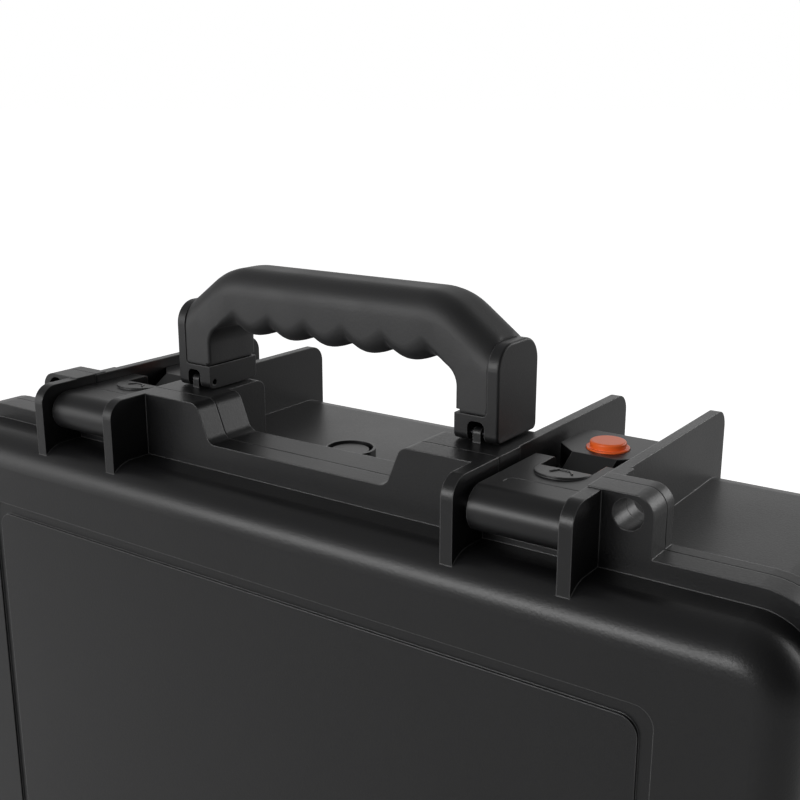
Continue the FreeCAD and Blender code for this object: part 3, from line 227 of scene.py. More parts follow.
def shade_range(tree, value, low_in, high_in, low, high):
    """The value between two levels, turned into another range."""
    return add_node(tree, "ShaderNodeMapRange", {"Value": value, "From Min": low_in, "From Max": high_in,
                                                 "To Min": low, "To Max": high}).outputs["Result"]


def two_tone(tree, factor, first, second):
    """A colour between two, by a factor."""
    mix = add_node(tree, "ShaderNodeMix", {0: factor, 6: first, 7: second}, data_type="RGBA")
    return mix.outputs[2]


def tint(colour, amount):
    """A colour made lighter or darker by a share."""
    return tuple(min(1.0, c * amount) for c in colour[:3]) + (1.0,)


def with_painted_highlight(colour, amount):
    """A colour with some white worked in, for a painted highlight along an edge."""
    return tuple(min(1.0, c + amount) for c in colour[:3]) + (1.0,)


def rounded_normal(tree, radius):
    """Normal of an edge with a small radius, and a mask that is 1 on that edge."""
    bevel = add_node(tree, "ShaderNodeBevel", {"Radius": radius}, samples=6)
    flat = add_node(tree, "ShaderNodeNewGeometry").outputs["Normal"]
    level = add_node(tree, "ShaderNodeVectorMath", {0: bevel.outputs["Normal"], 1: flat},
                     operation="DOT_PRODUCT").outputs["Value"]
    return bevel.outputs["Normal"], shade_range(tree, level, 0.995, 0.85, 0.0, 1.0)


def moulded_plastic(name, colour, grain, pit_depth, roughness, edge):
    """Injection-moulded plastic: fine spark-eroded grain, slight flow marks, edges rubbed smoother with a
    painted highlight.
    """
    material, tree, place = start_material(name)
    normal, on_edge = rounded_normal(tree, edge)
    # Flow of the melt: soft clouds some 60 mm across in tone and gloss
    cloud = add_node(tree, "ShaderNodeTexNoise", {"Vector": place, "Scale": per_length(0.06), "Detail": 2.0})
    # Spark-eroded pits, drawn at grain width so that they show at this distance
    pits = add_node(tree, "ShaderNodeTexVoronoi", {"Vector": place, "Scale": per_length(grain)},
                    feature="SMOOTH_F1")
    fine = add_node(tree, "ShaderNodeTexNoise", {"Vector": place, "Scale": per_length(grain * 0.6),
                                                 "Detail": 3.0, "Roughness": 0.6})
    # Sink and shrinkage: a slow wave of the surface every 18 mm or so
    sink = add_node(tree, "ShaderNodeTexNoise", {"Vector": place, "Scale": per_length(0.018), "Detail": 1.0})
    tone = two_tone(tree, cloud.outputs["Fac"], tint(colour, 0.86), tint(colour, 1.14))
    # Painted highlight: the colour turns paler along every edge
    painted_edge_highlight = two_tone(tree, on_edge, tone, with_painted_highlight(colour, 0.08))
    speckle = shade_range(tree, fine.outputs["Fac"], 0.3, 0.7, -0.05, 0.05)
    gloss = shade_range(tree, cloud.outputs["Fac"], 0.3, 0.7, roughness - 0.02, roughness + 0.03)
    gloss = add_node(tree, "ShaderNodeMath", {0: gloss, 1: speckle}, operation="ADD").outputs["Value"]
    worn = shade_range(tree, on_edge, 0.0, 1.0, 0.0, 0.10)
    gloss = add_node(tree, "ShaderNodeMath", {0: gloss, 1: worn}, operation="SUBTRACT").outputs["Value"]
    wave = add_node(tree, "ShaderNodeBump", {"Height": sink.outputs["Fac"], "Distance": 0.000025,
                                             "Normal": normal})
    grainy = add_node(tree, "ShaderNodeBump", {"Height": pits.outputs["Distance"], "Distance": pit_depth,
                                               "Normal": wave.outputs["Normal"]}, invert=True)
    bumpy = add_node(tree, "ShaderNodeBump", {"Height": fine.outputs["Fac"], "Distance": pit_depth * 0.5,
                                              "Normal": grainy.outputs["Normal"]})
    shader = add_node(tree, "ShaderNodeBsdfPrincipled", {
        "Base Color": painted_edge_highlight, "Roughness": gloss, "Normal": bumpy.outputs["Normal"], "IOR": 1.42})
    finish_material(tree, shader)
    return material


def soft_touch_elastomer(name, colour):
    """Soft-touch overmould of the grip: a dry, even matte with a leather-like grain and a faint bloom."""
    material, tree, place = start_material(name)
    cells = add_node(tree, "ShaderNodeTexVoronoi", {"Vector": place, "Scale": per_length(0.0011)},
                     feature="SMOOTH_F1")
    fine = add_node(tree, "ShaderNodeTexNoise", {"Vector": place, "Scale": per_length(0.0006), "Detail": 3.0})
    # Hands darken and polish it in patches some 25 mm across
    patches = add_node(tree, "ShaderNodeTexNoise", {"Vector": place, "Scale": per_length(0.025),
                                                    "Detail": 3.0})
    tone = two_tone(tree, patches.outputs["Fac"], tint(colour, 0.85), tint(colour, 1.12))
    rough = shade_range(tree, patches.outputs["Fac"], 0.3, 0.7, 0.50, 0.60)
    grain = add_node(tree, "ShaderNodeBump", {"Height": cells.outputs["Distance"], "Distance": 0.00003},
                     invert=True)
    skin = add_node(tree, "ShaderNodeBump", {"Height": fine.outputs["Fac"], "Distance": 0.00002,
                                             "Normal": grain.outputs["Normal"]})
    shader = add_node(tree, "ShaderNodeBsdfPrincipled", {
        "Base Color": tone, "Roughness": rough, "Normal": skin.outputs["Normal"], "IOR": 1.5,
        "Sheen Weight": 0.06, "Sheen Roughness": 0.5})
    finish_material(tree, shader)
    return material


def open_cell_foam(name, colour):
    """Open-cell polyurethane foam: no gloss, pores of about a millimetre with painted shade, between paler
    struts.
    """
    material, tree, place = start_material(name)
    pores = add_node(tree, "ShaderNodeTexVoronoi", {"Vector": place, "Scale": per_length(0.0016)})
    clump = add_node(tree, "ShaderNodeTexNoise", {"Vector": place, "Scale": per_length(0.012), "Detail": 4.0})
    # Painted shade: the colour darkens in each pore and lightens on the struts round it
    painted_pore_shade = shade_range(tree, pores.outputs["Distance"], 0.1, 0.6, 0.0, 1.0)
    tone = two_tone(tree, painted_pore_shade, tint(colour, 0.45), tint(colour, 1.25))
    soft = two_tone(tree, clump.outputs["Fac"], tint(colour, 0.8), tint(colour, 1.2))
    mixed = two_tone(tree, 0.35, tone, soft)
    cell = add_node(tree, "ShaderNodeBump", {"Height": pores.outputs["Distance"], "Distance": 0.0005})
    lump = add_node(tree, "ShaderNodeBump", {"Height": clump.outputs["Fac"], "Distance": 0.0008,
                                             "Normal": cell.outputs["Normal"]})
    shader = add_node(tree, "ShaderNodeBsdfPrincipled", {
        "Base Color": mixed, "Roughness": 0.95, "Normal": lump.outputs["Normal"], "IOR": 1.4,
        "Sheen Weight": 0.2, "Sheen Roughness": 0.6})
    finish_material(tree, shader)
    return material


def moulded_rubber(name, colour, roughness):
    """Compression-moulded rubber: dull, slightly blotched, with a fine sanded skin."""
    material, tree, place = start_material(name)
    blotch = add_node(tree, "ShaderNodeTexNoise", {"Vector": place, "Scale": per_length(0.009),
                                                   "Detail": 4.0})
    skin = add_node(tree, "ShaderNodeTexNoise", {"Vector": place, "Scale": per_length(0.0008), "Detail": 3.0})
    tone = two_tone(tree, blotch.outputs["Fac"], tint(colour, 0.8), tint(colour, 1.3))
    rough = shade_range(tree, blotch.outputs["Fac"], 0.3, 0.7, roughness - 0.06, roughness + 0.06)
    bump = add_node(tree, "ShaderNodeBump", {"Height": skin.outputs["Fac"], "Distance": 0.00004})
    shader = add_node(tree, "ShaderNodeBsdfPrincipled", {
        "Base Color": tone, "Roughness": rough, "Normal": bump.outputs["Normal"], "IOR": 1.5})
    finish_material(tree, shader)
    return material


def drawn_steel(name, colour, roughness, line):
    """Drawn or turned steel: bright metal with fine lines along its length and darker stains."""
    material, tree, place = start_material(name)
    squeeze = add_node(tree, "ShaderNodeMapping", {"Vector": place, "Scale": (0.04, 1.0, 1.0)})
    lines = add_node(tree, "ShaderNodeTexNoise", {"Vector": squeeze.outputs["Vector"],
                                                  "Scale": per_length(line), "Detail": 4.0})
    stain = add_node(tree, "ShaderNodeTexNoise", {"Vector": place, "Scale": per_length(0.006), "Detail": 3.0})
    tone = two_tone(tree, stain.outputs["Fac"], tint(colour, 0.75), colour)
    rough = shade_range(tree, lines.outputs["Fac"], 0.3, 0.7, roughness - 0.08, roughness + 0.10)
    bump = add_node(tree, "ShaderNodeBump", {"Height": lines.outputs["Fac"], "Distance": 0.00002})
    shader = add_node(tree, "ShaderNodeBsdfPrincipled", {
        "Base Color": tone, "Metallic": 1.0, "Roughness": rough, "Normal": bump.outputs["Normal"]})
    finish_material(tree, shader)
    return material


def dress(node, material):
    """Gives a CAD node one finish."""
    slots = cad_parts[node].material_slots
    for slot in slots:
        slot.link = "OBJECT"
        slot.material = material


def both(name):
    return [f"{name}_left", f"{name}_right"]


# Mesh helpers

def make_piece(name, points, faces, material, body, crease=40.0):
    """A closed mesh piece, smooth but for edges sharper than the crease angle, riding on a body."""
    mesh = bpy.data.meshes.new(name)
    mesh.from_pydata([tuple(p) for p in points], [], faces)
    tidy = bmesh.new()
    tidy.from_mesh(mesh)
    bmesh.ops.remove_doubles(tidy, verts=tidy.verts, dist=0.000002)
    bmesh.ops.recalc_face_normals(tidy, faces=tidy.faces)
    tidy.to_mesh(mesh)
    tidy.free()
    piece = bpy.data.objects.new(name, mesh)
    bpy.context.scene.collection.objects.link(piece)
    mesh.materials.append(material)
    mesh.shade_smooth()
    mesh.set_sharp_from_angle(angle=math.radians(crease))
    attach(piece, body)
    return piece


def skin_rings(rings, closed):
    """Points and quads of a tube through rings of equal length; its ends are capped unless it closes."""
    count = len(rings[0])
    points = [p for ring in rings for p in ring]
    faces = []
    last = len(rings) if closed else len(rings) - 1
    for i in range(last):
        a = i * count
        b = ((i + 1) % len(rings)) * count
        for j in range(count):
            k = (j + 1) % count
            faces.append((a + j, a + k, b + k, b + j))
    if not closed:
        faces.append(tuple(range(count)))
        faces.append(tuple((len(rings) - 1) * count + j for j in range(count)))
    return points, faces


def wire_section(middle, out, radius, count):
    """Points round the section of a wire, in the upright plane of this direction."""
    turns = [2 * math.pi * j / count for j in range(count)]
    return [middle + out * (radius * math.cos(turn)) + Vector((0, 0, radius * math.sin(turn)))
            for turn in turns]


def loop_around(half_x, low_z, high_z, corner, steps):
    """Points and outward directions round a rectangle with round corners, in XZ."""
    made = []
    corners = [(half_x, high_z, 0), (-half_x, high_z, 90), (-half_x, low_z, 180), (half_x, low_z, 270)]
    for x, z, start in corners:
        cx = x - math.copysign(corner, x)
        cz = z - corner if z == high_z else z + corner
        for i in range(steps + 1):
            angle = math.radians(start + 90 * i / steps)
            out = Vector((math.cos(angle), 0, math.sin(angle)))
            made.append((Vector((cx, 0, cz)) + out * corner, out))
    return made


# Operators

class HARDCASE_OT_finishes(bpy.types.Operator):
    """Give every rigid piece of the case its moulded plastic or steel"""
    bl_idname = "hardcase.finishes"
    bl_label = "Shell, latch and valve finishes"

    def execute(self, context):
        look = context.scene.case_shell
        # Polypropylene copolymer, spark-eroded mould: satin black that greys softly towards the light
        shell = moulded_plastic("moulded_polypropylene", look.shell, look.grain, 0.00003, 0.35, look.edge)
        # Glass-filled nylon: finer and shallower grain than the shells, and a touch duller
        latch = moulded_plastic("glass_filled_nylon", look.hardware, 0.0006, 0.00001, 0.37, look.edge)
        carrier = moulded_plastic("handle_nylon", look.carrier, 0.0007, 0.00002, 0.40, look.edge)
        # ABS coloured right through: even satin, with a painted highlight along its rim
        button = moulded_plastic("orange_abs", look.button, 0.0005, 0.000006, 0.34, 0.0004)
        # ABS from a bright mould: the glossiest plastic on the case
        valve = moulded_plastic("black_abs", look.valve, 0.0005, 0.000004, 0.32, 0.0003)
        # Stainless rod, centreless ground: grey with fine lines along its length
        pin = drawn_steel("ground_stainless", linear("#b4b4b6"), 0.32, 0.0006)
        # Black-oxide rod inside the handle's feet: dark, so that the windows round it stay dark
        black_pin = drawn_steel("black_oxide_steel", linear("#29292b"), 0.45, 0.0006)
        # Zinc-plated screws: pale, a little cloudy
        screw = drawn_steel("zinc_plated_steel", linear("#c2c3c4"), 0.38, 0.0005)
        for node in ["base_shell", "lid_shell"]:
            dress(node, shell)
        for node in both("latch_lever") + both("release_block") + both("lock_bolt"):
            dress(node, latch)
        dress("handle_frame", carrier)
        for node in both("push_button"):
            dress(node, button)
        for node in ["valve_body", "valve_cap", "valve_nut"]:
            dress(node, valve)
        for node in both("latch_pin") + both("hinge_pin"):
            dress(node, pin)
        for node in both("handle_pin"):
            dress(node, black_pin)
        dress("block_screws", screw)
        return {"FINISHED"}


class HARDCASE_OT_grip(bpy.types.Operator):
    """Mould the soft grip with its finger bumps round the handle's core"""
    bl_idname = "hardcase.grip"
    bl_label = "Soft grip"

    def execute(self, context):
        look = context.scene.case_grip
        low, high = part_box("handle_grip")
        outer_x, top, seat = high.x, high.z, low.z
        inner_x = outer_x - look.leg
        under = seat + look.arch
        end_z = top - look.end_drop
        flat_x = outer_x - look.end_run
        corner, turn = look.arch_corner, look.shoulder
        middle_y, half_y = (low.y + high.y) / 2, (high.y - low.y) / 2
        angle = math.atan2(top - end_z, outer_x - flat_x)
        centre = Vector((flat_x - turn * math.tan(angle / 2), 0, top - turn))
        pitch, bump = look.bump_pitch, look.bump_radius
        reach = pitch * look.bump_count / 2
        # Run along the grip over which the soft lower rounding dies out towards a leg
        fading = 8.5 * MM

        def on_shoulder(lean):
            """Point of the rounded shoulder where its outline leans this far from level."""
            return centre + Vector((math.sin(lean), 0, math.cos(lean))) * turn

        def below_outline(place):
            """Depth of a place below the top and its sloping ends, seen from the front."""
            out = Vector((abs(place.x), 0, place.z)) - centre
            lean = min(max(math.atan2(out.x, out.z), 0.0), angle)
            return max(0.0, turn - out.x * math.sin(lean) - out.z * math.cos(lean))

        def underside(x):
            """Height of the underside: a row of bumps that meet in soft grooves."""
            if abs(x) >= reach:
                return under
            off = (x + reach) % pitch - pitch / 2
            return min(under, under - look.bump_drop + bump - math.sqrt(bump ** 2 - off ** 2))

        def lower_rounding(x):
            """Radius of the lower edges: widest at a groove, less under a bump, least on the legs."""
            share = 0.5 - 0.5 * math.cos(2 * math.pi * (min(abs(x), reach) + reach) / pitch)
            wide = look.groove_round + (look.under_round - look.groove_round) * share
            fade = min(1.0, max(0.0, (abs(x) - reach) / fading))
            fade = fade * fade * (3 - 2 * fade)
            return wide * (1 - fade) + look.leg_round * fade

        def trimmed(radius, depth):
            """How far a rounded edge draws in at this depth below it."""
            return radius - math.sqrt(max(0.0, radius ** 2 - max(0.0, radius - depth) ** 2))

        def between(a, b, count):
            """Evenly spaced points from one to the other, without the last."""
            return [a + (b - a) * (i / count) for i in range(count)]

        # Foot of a leg in millimetres: its rise, the notch inside it and the round corner outside it
        foot = [(0.0, 1.5, 2.0), (0.25, 1.5, 1.05), (0.6, 1.5, 0.57), (1.2, 1.5, 0.17), (1.21, 0.0, 0.16),
                (2.0, 0.0, 0.0)]
        # Pairs of an inner and an outer point, from the foot of the right leg to the middle
        stations = []
        for rise, cut_in, cut_out in foot:
            stations.append((Vector((inner_x + cut_in * MM, 0, seat + rise * MM)),
                             Vector((outer_x - cut_out * MM, 0, seat + rise * MM))))
        level = under - corner
        leg_foot, leg_top = Vector((outer_x, 0, seat + foot[-1][0] * MM)), Vector((outer_x, 0, level))
        stations += [(Vector((inner_x, 0, p.z)), p) for p in between(leg_foot, leg_top, 5)[1:]]
        outer = between(leg_top, Vector((outer_x, 0, end_z)), 9)
        outer += between(Vector((outer_x, 0, end_z)), on_shoulder(angle), 8)
        outer += [on_shoulder(angle * (1 - i / 9)) for i in range(10)]
        for k, out in enumerate(outer):
            around = math.radians(90 * k / (len(outer) - 1))
            stations.append((Vector((inner_x - corner + corner * math.cos(around), 0,
                                     level + corner * math.sin(around))), out))
        last_in, last_out = stations[-1]
        # Fine steps along the finger bumps
        steps_to_middle = 100
        for k in range(1, steps_to_middle + 1):
            left_over = 1 - k / steps_to_middle
            x_in = last_in.x * left_over
            stations.append((Vector((x_in, 0, underside(x_in))), Vector((last_out.x * left_over, 0, top))))
        stations += [(Vector((-a.x, 0, a.z)), Vector((-b.x, 0, b.z))) for a, b in reversed(stations[:-1])]

        rings = []
        for inside, outside in stations:
            span = (outside - inside).length
            radius = lower_rounding(inside.x)
            steps = [1 - math.cos(math.pi / 2 * i / 9) for i in range(10)]
            levels = [min(radius * s, span * 0.55) for s in steps]
            levels += [max(span - 1.35 * look.top_round * s, span * 0.56) for s in reversed(steps)]
            side = []
            for level in levels:
                place = inside + (outside - inside) * (level / span)
                # The seam beside each end plate keeps a fine rounded lip
                draw = max(trimmed(look.top_round, below_outline(place)), trimmed(radius, level),
                           trimmed(look.lip, outer_x - abs(place.x)), trimmed(look.lip, place.z - seat))
                side.append((place, half_y - draw))
            ring = [Vector((p.x, middle_y - w, p.z)) for p, w in side]
            p, w = side[-1]
            ring += [Vector((p.x, middle_y - w * share, p.z)) for share in (0.5, 0.0, -0.5)]
            ring += [Vector((p.x, middle_y + w, p.z)) for p, w in reversed(side)]
            p, w = side[0]
            ring += [Vector((p.x, middle_y + w * share, p.z)) for share in (0.5, 0.0, -0.5)]
            rings.append(ring)
        points, faces = skin_rings(rings, False)
        rubber = soft_touch_elastomer("soft_touch_elastomer", look.colour)
        grip = make_piece("grip_overmould", points, faces, rubber, "handle", 50.0)
        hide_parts("handle_grip")
        return {"FINISHED"}


class HARDCASE_OT_foam(bpy.types.Operator):
    """Cut the foam of both shells: a block with the laptop's recess, and an egg-crate sheet"""
    bl_idname = "hardcase.foam"
    bl_label = "Foam inserts"

    def soften(self, name, node, body, material, look):
        """A foam copy of a CAD solid, with softened edges and a slightly uneven cut surface."""
        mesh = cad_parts[node].data.copy()
        mesh.name = name
        mesh.materials.clear()
        mesh.materials.append(material)
        piece = bpy.data.objects.new(name, mesh)
        bpy.context.scene.collection.objects.link(piece)
        remesh = piece.modifiers.new("cells", "REMESH")
        remesh.mode = "VOXEL"
        remesh.voxel_size = look.voxel
        smooth = piece.modifiers.new("soft", "SMOOTH")
        smooth.iterations = 5
        smooth.factor = 0.5
        made = bpy.data.meshes.new_from_object(piece.evaluated_get(bpy.context.evaluated_depsgraph_get()))
        piece.modifiers.clear()
        piece.data = made
        made.shade_smooth()
        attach(piece, body)
        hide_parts(node)
        return piece

    def execute(self, context):
        look = context.scene.case_foam
        material = open_cell_foam("open_cell_polyurethane", look.colour)
        self.soften("laptop_foam", "base_foam", "base", material, look)
        lid = self.soften("egg_crate_foam", "lid_foam", "lid", material, look)
        low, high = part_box("lid_foam")
        face = high.y
        for vertex in lid.data.vertices:
            at = vertex.co
            inside = min(at.x - low.x, high.x - at.x, at.z - low.z, high.z - at.z)
            above = at.y - (face - look.skin)
            if above > 0:
                wave = math.cos(2 * math.pi * at.x / look.pitch) * math.cos(2 * math.pi * at.z / look.pitch)
                fade = min(1.0, max(0.0, inside / look.border))
                near = min(1.0, above / look.skin_fade)
                at.y -= look.depth * (0.5 - 0.5 * wave) * fade * near
        lid.data.update()
        return {"FINISHED"}


class HARDCASE_OT_seals(bpy.types.Operator):
    """Lay the gasket in the lid's channel and the ring under the valve"""
    bl_idname = "hardcase.seals"
    bl_label = "Gasket and valve ring"

    def execute(self, context):
        look = context.scene.case_rubber
        rubber = moulded_rubber("moulded_silicone", look.seal, 0.5)
        low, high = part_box("lid_gasket")
        width = look.gasket
        depth = high.y - low.y
        # The round bead takes nearly half the depth, and the rest stands in the channel
        bead = depth * 0.45
        loop = loop_around(high.x, low.z, high.z, look.gasket_corner + width, 12)
        profile = []
        for i in range(9):
            angle = math.pi * i / 8
            profile.append((width / 2 * (math.cos(angle) - 1), high.y + bead * (math.sin(angle) - 1)))
        profile += [(-width, low.y), (-width * 0.5, low.y), (0.0, low.y)]
        rings = []
        for place, out in loop:
            rings.append([Vector((place.x, 0, place.z)) + out * offset + Vector((0, y, 0))
                          for offset, y in profile])
        points, faces = skin_rings(rings, True)
        gasket = make_piece("gasket_bead", points, faces, rubber, "lid")
        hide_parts("lid_gasket")

        low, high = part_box("valve_seal")
        centre = (low + high) / 2
        wire = (high.z - low.z) / 2
        rings = []
        for i in range(48):
            turn = 2 * math.pi * i / 48
            out = Vector((math.cos(turn), math.sin(turn), 0))
            rings.append(wire_section(centre + out * ((high.x - low.x) / 2 - wire), out, wire, 12))
        points, faces = skin_rings(rings, True)
        ring = make_piece("valve_ring", points, faces, rubber, "base")
        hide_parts("valve_seal")
        return {"FINISHED"}


class HARDCASE_OT_feet(bpy.types.Operator):
    """Mould the ribbed rubber feet"""
    bl_idname = "hardcase.feet"
    bl_label = "Rubber feet"

    def execute(self, context):
        look = context.scene.case_rubber
        rubber = moulded_rubber("moulded_rubber", look.feet, 0.72)
        for shell in ("base", "lid"):
            for name in both(f"foot_{shell}"):
                low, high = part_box(name)
                length = high.y - low.y
                ribs = look.ribs if length > look.long_foot else 2
                pitch = length / ribs
                root = low.z + look.rib_depth
                mouth, foot_of_slot = look.slot_mouth / 2, look.slot_root / 2
                outline = [(low.y, high.z), (low.y, low.z)]
                for rib in range(1, ribs):
                    y = low.y + pitch * rib
                    outline += [(y - mouth, low.z), (y - foot_of_slot, root), (y + foot_of_slot, root),
                                (y + mouth, low.z)]
                outline += [(high.y, low.z), (high.y, high.z)]
                # Three steps at each end make its rounding
                soft = look.foot_round
                ends = [(0.0, soft), (soft * 0.8, soft * 0.2), (soft * 1.6, 0.0)]
                rings = []
                for x, shrink in ([(low.x + step, s) for step, s in ends]
                                  + [(high.x - step, s) for step, s in reversed(ends)]):
                    ring = []
                    for y, z in outline:
                        y = min(max(y, low.y + shrink), high.y - shrink)
                        z = max(z, low.z + shrink) if z < high.z else z
                        ring.append(Vector((x, y, z)))
                    rings.append(ring)
                points, faces = skin_rings(rings, False)
                foot = make_piece(f"ribbed_{name}", points, faces, rubber, shell, 30.0)
                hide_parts(name)
        return {"FINISHED"}


class HARDCASE_OT_thumb_marks(bpy.types.Operator):
    """Raise a plain arrow on each latch's thumb disc"""
    bl_idname = "hardcase.thumb_marks"
    bl_label = "Thumb arrows"

    def execute(self, context):
        look = context.scene.case_thumb
        nylon = bpy.data.materials["glass_filled_nylon"]
        for side in ("left", "right"):
            low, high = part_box(f"latch_lever_{side}")
            middle = (low.x + high.x) / 2
            ledge = high.y - look.ledge
            slope = look.dip / look.run
            # A bent line across the disc in millimetres, and the way in which each point is widened
            line = [(-2.9, -6.0), (-1.2, -2.0), (3.2, -2.2), (5.4, -5.4)]
            across = [(-1.0, 0.3), (-0.3, 1.0), (0.5, 1.0), (1.0, 0.6)]
            rings = []
            for (x, y), out in zip(line, across):
                at = Vector((middle + x * MM, ledge + y * MM, high.z - look.dip - y * MM * slope))
                out = Vector((out[0], out[1], 0)) * look.thick / 2
                rise, sink = Vector((0, 0, look.height)), Vector((0, 0, look.root))
                rings.append([at + out - sink, at + out * 0.7 + rise, at - out * 0.7 + rise, at - out - sink])
            points, faces = skin_rings(rings, False)
            make_piece(f"thumb_arrow_{side}", points, faces, nylon, f"latch_{side}", 30.0)
        return {"FINISHED"}


class HARDCASE_OT_springs(bpy.types.Operator):
    """Wind the springs under the buttons"""
    bl_idname = "hardcase.springs"
    bl_label = "Button springs"

    def execute(self, context):
        look = context.scene.case_spring
        # Music wire: darker than the pins, drawn smooth
        steel = drawn_steel("music_wire", look.colour, 0.28, 0.0004)
        for side in ("left", "right"):
            low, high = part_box(f"button_spring_{side}")
            middle = (low + high) / 2
            thick = look.wire / 2
            reach = (high.x - low.x) / 2 - thick
            steps = round(look.turns * 36)
            rings = []
            for i in range(steps + 1):
                turn = 2 * math.pi * i / 36
                out = Vector((math.cos(turn), math.sin(turn), 0))
                rise = low.z + thick + (high.z - low.z - 2 * thick) * i / steps
                rings.append(wire_section(Vector((middle.x, middle.y, rise)) + out * reach, out, thick, 10))
            points, faces = skin_rings(rings, False)
            coil = make_piece(f"wound_spring_{side}", points, faces, steel, "base")
            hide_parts(f"button_spring_{side}")
            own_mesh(coil)
        return {"FINISHED"}


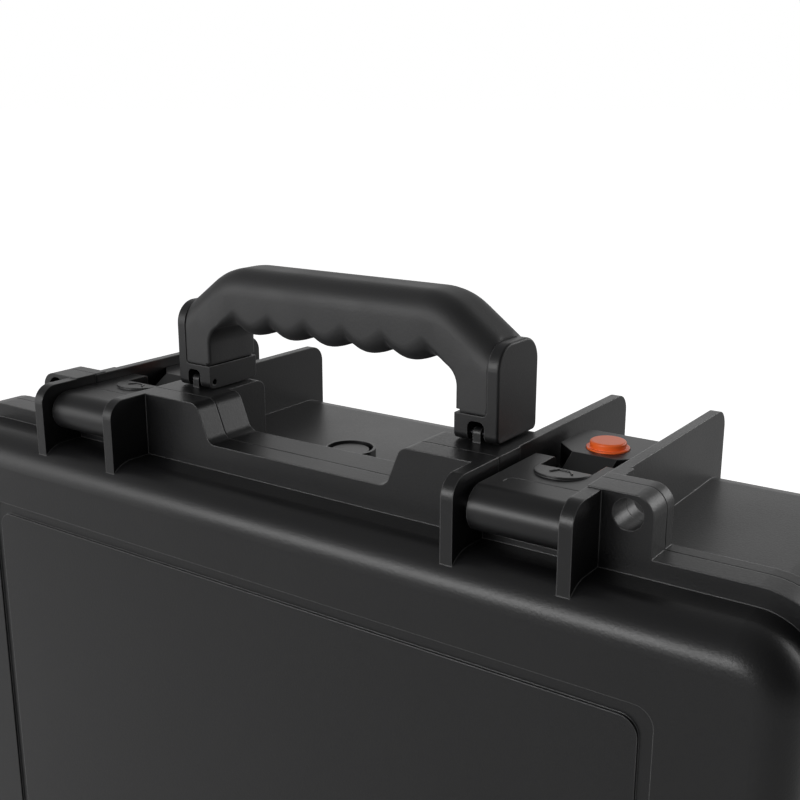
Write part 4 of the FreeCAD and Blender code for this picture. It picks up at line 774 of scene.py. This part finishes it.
class HARDCASE_OT_stage(bpy.types.Operator):
    """Set the floor, the soft light and the camera"""
    bl_idname = "hardcase.stage"
    bl_label = "Studio floor, light and camera"

    def soft_light(self, name, size_x, size_y, place, target, power, grid):
        """A softbox that the camera doesn't see, with a honeycomb grid that keeps the floor below it dark."""
        lamp = bpy.data.lights.new(name, "AREA")
        lamp.shape = "RECTANGLE"
        lamp.size, lamp.size_y = size_x, size_y
        lamp.energy = power
        lamp.spread = grid
        holder = bpy.data.objects.new(name, lamp)
        holder.location = place
        holder.rotation_mode = "QUATERNION"
        holder.rotation_quaternion = (Vector(target) - Vector(place)).to_track_quat("-Z", "Y")
        holder.visible_camera = False
        bpy.context.scene.collection.objects.link(holder)

    def execute(self, context):
        look = context.scene.case_stage
        scene = context.scene
        far, low = look.reach, -look.drop
        points = [(-far, -far, low), (far, -far, low), (far, far, low), (-far, far, low)]
        mesh = bpy.data.meshes.new("floor")
        mesh.from_pydata(points, [], [(0, 1, 2, 3)])
        floor = bpy.data.objects.new("floor", mesh)
        scene.collection.objects.link(floor)
        # Matte painted floor: white to the eye and in reflections, and it keeps the case's shadow
        paint, tree, place = start_material("matte_white_paint")
        path = add_node(tree, "ShaderNodeLightPath")
        # Glossy faces see less of the glow, as the lit floor beside the case is greyer than the backdrop
        dimmed = shade_range(tree, path.outputs["Is Glossy Ray"], 0.0, 1.0, 0.0, look.glow_mirrored)
        seen = add_node(tree, "ShaderNodeMath", {0: path.outputs["Is Camera Ray"], 1: dimmed},
                        operation="MAXIMUM")
        seen = add_node(tree, "ShaderNodeMath", {0: seen.outputs["Value"],
                                                 1: path.outputs["Is Transmission Ray"]}, operation="MAXIMUM")
        mottle = add_node(tree, "ShaderNodeTexNoise", {"Vector": place, "Scale": per_length(0.4)})
        tone = two_tone(tree, mottle.outputs["Fac"], tint(look.floor, 0.985), look.floor)
        matte = add_node(tree, "ShaderNodeBsdfDiffuse", {"Color": tone})
        glow = add_node(tree, "ShaderNodeEmission", {
            "Color": (1.0, 1.0, 1.0, 1.0),
            "Strength": shade_range(tree, seen.outputs["Value"], 0.0, 1.0, 0.0, look.glow)})
        both_layers = add_node(tree, "ShaderNodeAddShader", {0: matte.outputs["BSDF"],
                                                             1: glow.outputs["Emission"]})
        add_node(tree, "ShaderNodeOutputMaterial", {"Surface": both_layers.outputs["Shader"]})
        mesh.materials.append(paint)

        world = bpy.data.worlds.new("white_studio")
        world.use_nodes = True
        sky = world.node_tree
        sky.nodes.clear()
        path = add_node(sky, "ShaderNodeLightPath")
        seen = add_node(sky, "ShaderNodeMath", {0: path.outputs["Is Camera Ray"],
                                                1: path.outputs["Is Transmission Ray"]}, operation="MAXIMUM")
        # Glossy faces see a white backdrop low behind the case, and a greyer room elsewhere that darkens
        # from left to right. The limits are parts of the unit direction that a face mirrors.
        toward = add_node(sky, "ShaderNodeTexCoord").outputs["Generated"]
        toward = add_node(sky, "ShaderNodeSeparateXYZ", {"Vector": toward})
        behind = shade_range(sky, toward.outputs["Y"], 0.1, 0.8, 0.0, 1.0)
        low = shade_range(sky, toward.outputs["Z"], 0.30, 0.6, 1.0, 0.0)
        backdrop = add_node(sky, "ShaderNodeMath", {0: behind, 1: low}, operation="MULTIPLY").outputs["Value"]
        room = shade_range(sky, toward.outputs["X"], -0.3, 0.6, look.room_left, look.room_right)
        mirrored = shade_range(sky, backdrop, 0.0, 1.0, room, 1.0)
        level = shade_range(sky, path.outputs["Is Glossy Ray"], 0.0, 1.0, look.sky, mirrored)
        level = shade_range(sky, seen.outputs["Value"], 0.0, 1.0, level, 1.0)
        back = add_node(sky, "ShaderNodeBackground", {"Color": (1.0, 1.0, 1.0, 1.0), "Strength": level})
        add_node(sky, "ShaderNodeOutputWorld", {"Surface": back.outputs["Background"]})
        scene.world = world

        # Name, width, height, place, aim and power of each softbox
        handle, middle = (0, 0, 0.33), (0, 0, 0.2)
        for name, wide, tall, place, aim, power in (
                ("key_softbox", 1.3, 0.45, (-0.50, -1.42, 0.68), handle, look.key),
                ("side_softbox", 0.7, 0.85, (-1.32, -0.85, 0.45), handle, look.side),
                ("back_softbox", 1.2, 0.9, (1.1, 1.7, 0.95), middle, look.back)):
            self.soft_light(name, wide, tall, place, aim, power, look.grid)

        camera = bpy.data.cameras.new("photo_camera")
        camera.lens = look.lens
        camera.sensor_width = 36.0
        camera.clip_start, camera.clip_end = 0.01, 50.0
        holder = bpy.data.objects.new("photo_camera", camera)
        azimuth, tilt, roll = look.azimuth, look.tilt, look.roll
        back_way = Vector((math.sin(azimuth) * math.cos(tilt), -math.cos(azimuth) * math.cos(tilt),
                           math.sin(tilt)))
        right = Vector((0, 0, 1)).cross(back_way).normalized()
        up = back_way.cross(right)
        right, up = right * math.cos(roll) + up * math.sin(roll), up * math.cos(roll) - right * math.sin(roll)
        turn = Matrix((right, up, back_way)).transposed().to_4x4()
        holder.matrix_world = Matrix.Translation(look.eye) @ turn
        scene.collection.objects.link(holder)
        scene.camera = holder
        scene.view_settings.view_transform = "Standard"
        return {"FINISHED"}


class HARDCASE_PT_panel(bpy.types.Panel):
    """Lists the case's pieces and finishes"""
    bl_idname = "HARDCASE_PT_panel"
    bl_label = "Laptop hard case"
    bl_space_type = "VIEW_3D"
    bl_region_type = "UI"
    bl_category = "Hard Case"

    def draw(self, context):
        for operator in OPERATORS:
            self.layout.operator(operator.bl_idname)
        for group, kind in GROUPS.items():
            box = self.layout.box()
            for name in kind.__annotations__:
                box.prop(getattr(context.scene, group), name)


OPERATORS = [HARDCASE_OT_finishes, HARDCASE_OT_grip, HARDCASE_OT_foam, HARDCASE_OT_seals, HARDCASE_OT_feet,
             HARDCASE_OT_thumb_marks, HARDCASE_OT_springs, HARDCASE_OT_stage]


def register():
    for group, kind in GROUPS.items():
        bpy.utils.register_class(kind)
        setattr(bpy.types.Scene, group, PointerProperty(type=kind))
    for kind in OPERATORS + [HARDCASE_PT_panel]:
        bpy.utils.register_class(kind)


def unregister():
    for kind in reversed(OPERATORS + [HARDCASE_PT_panel]):
        bpy.utils.unregister_class(kind)
    for group, kind in GROUPS.items():
        delattr(bpy.types.Scene, group)
        bpy.utils.unregister_class(kind)


def main():
    register()
    for operator in OPERATORS:
        group, name = operator.bl_idname.split(".")
        getattr(getattr(bpy.ops, group), name)()


if __name__ == "__main__":
    main()
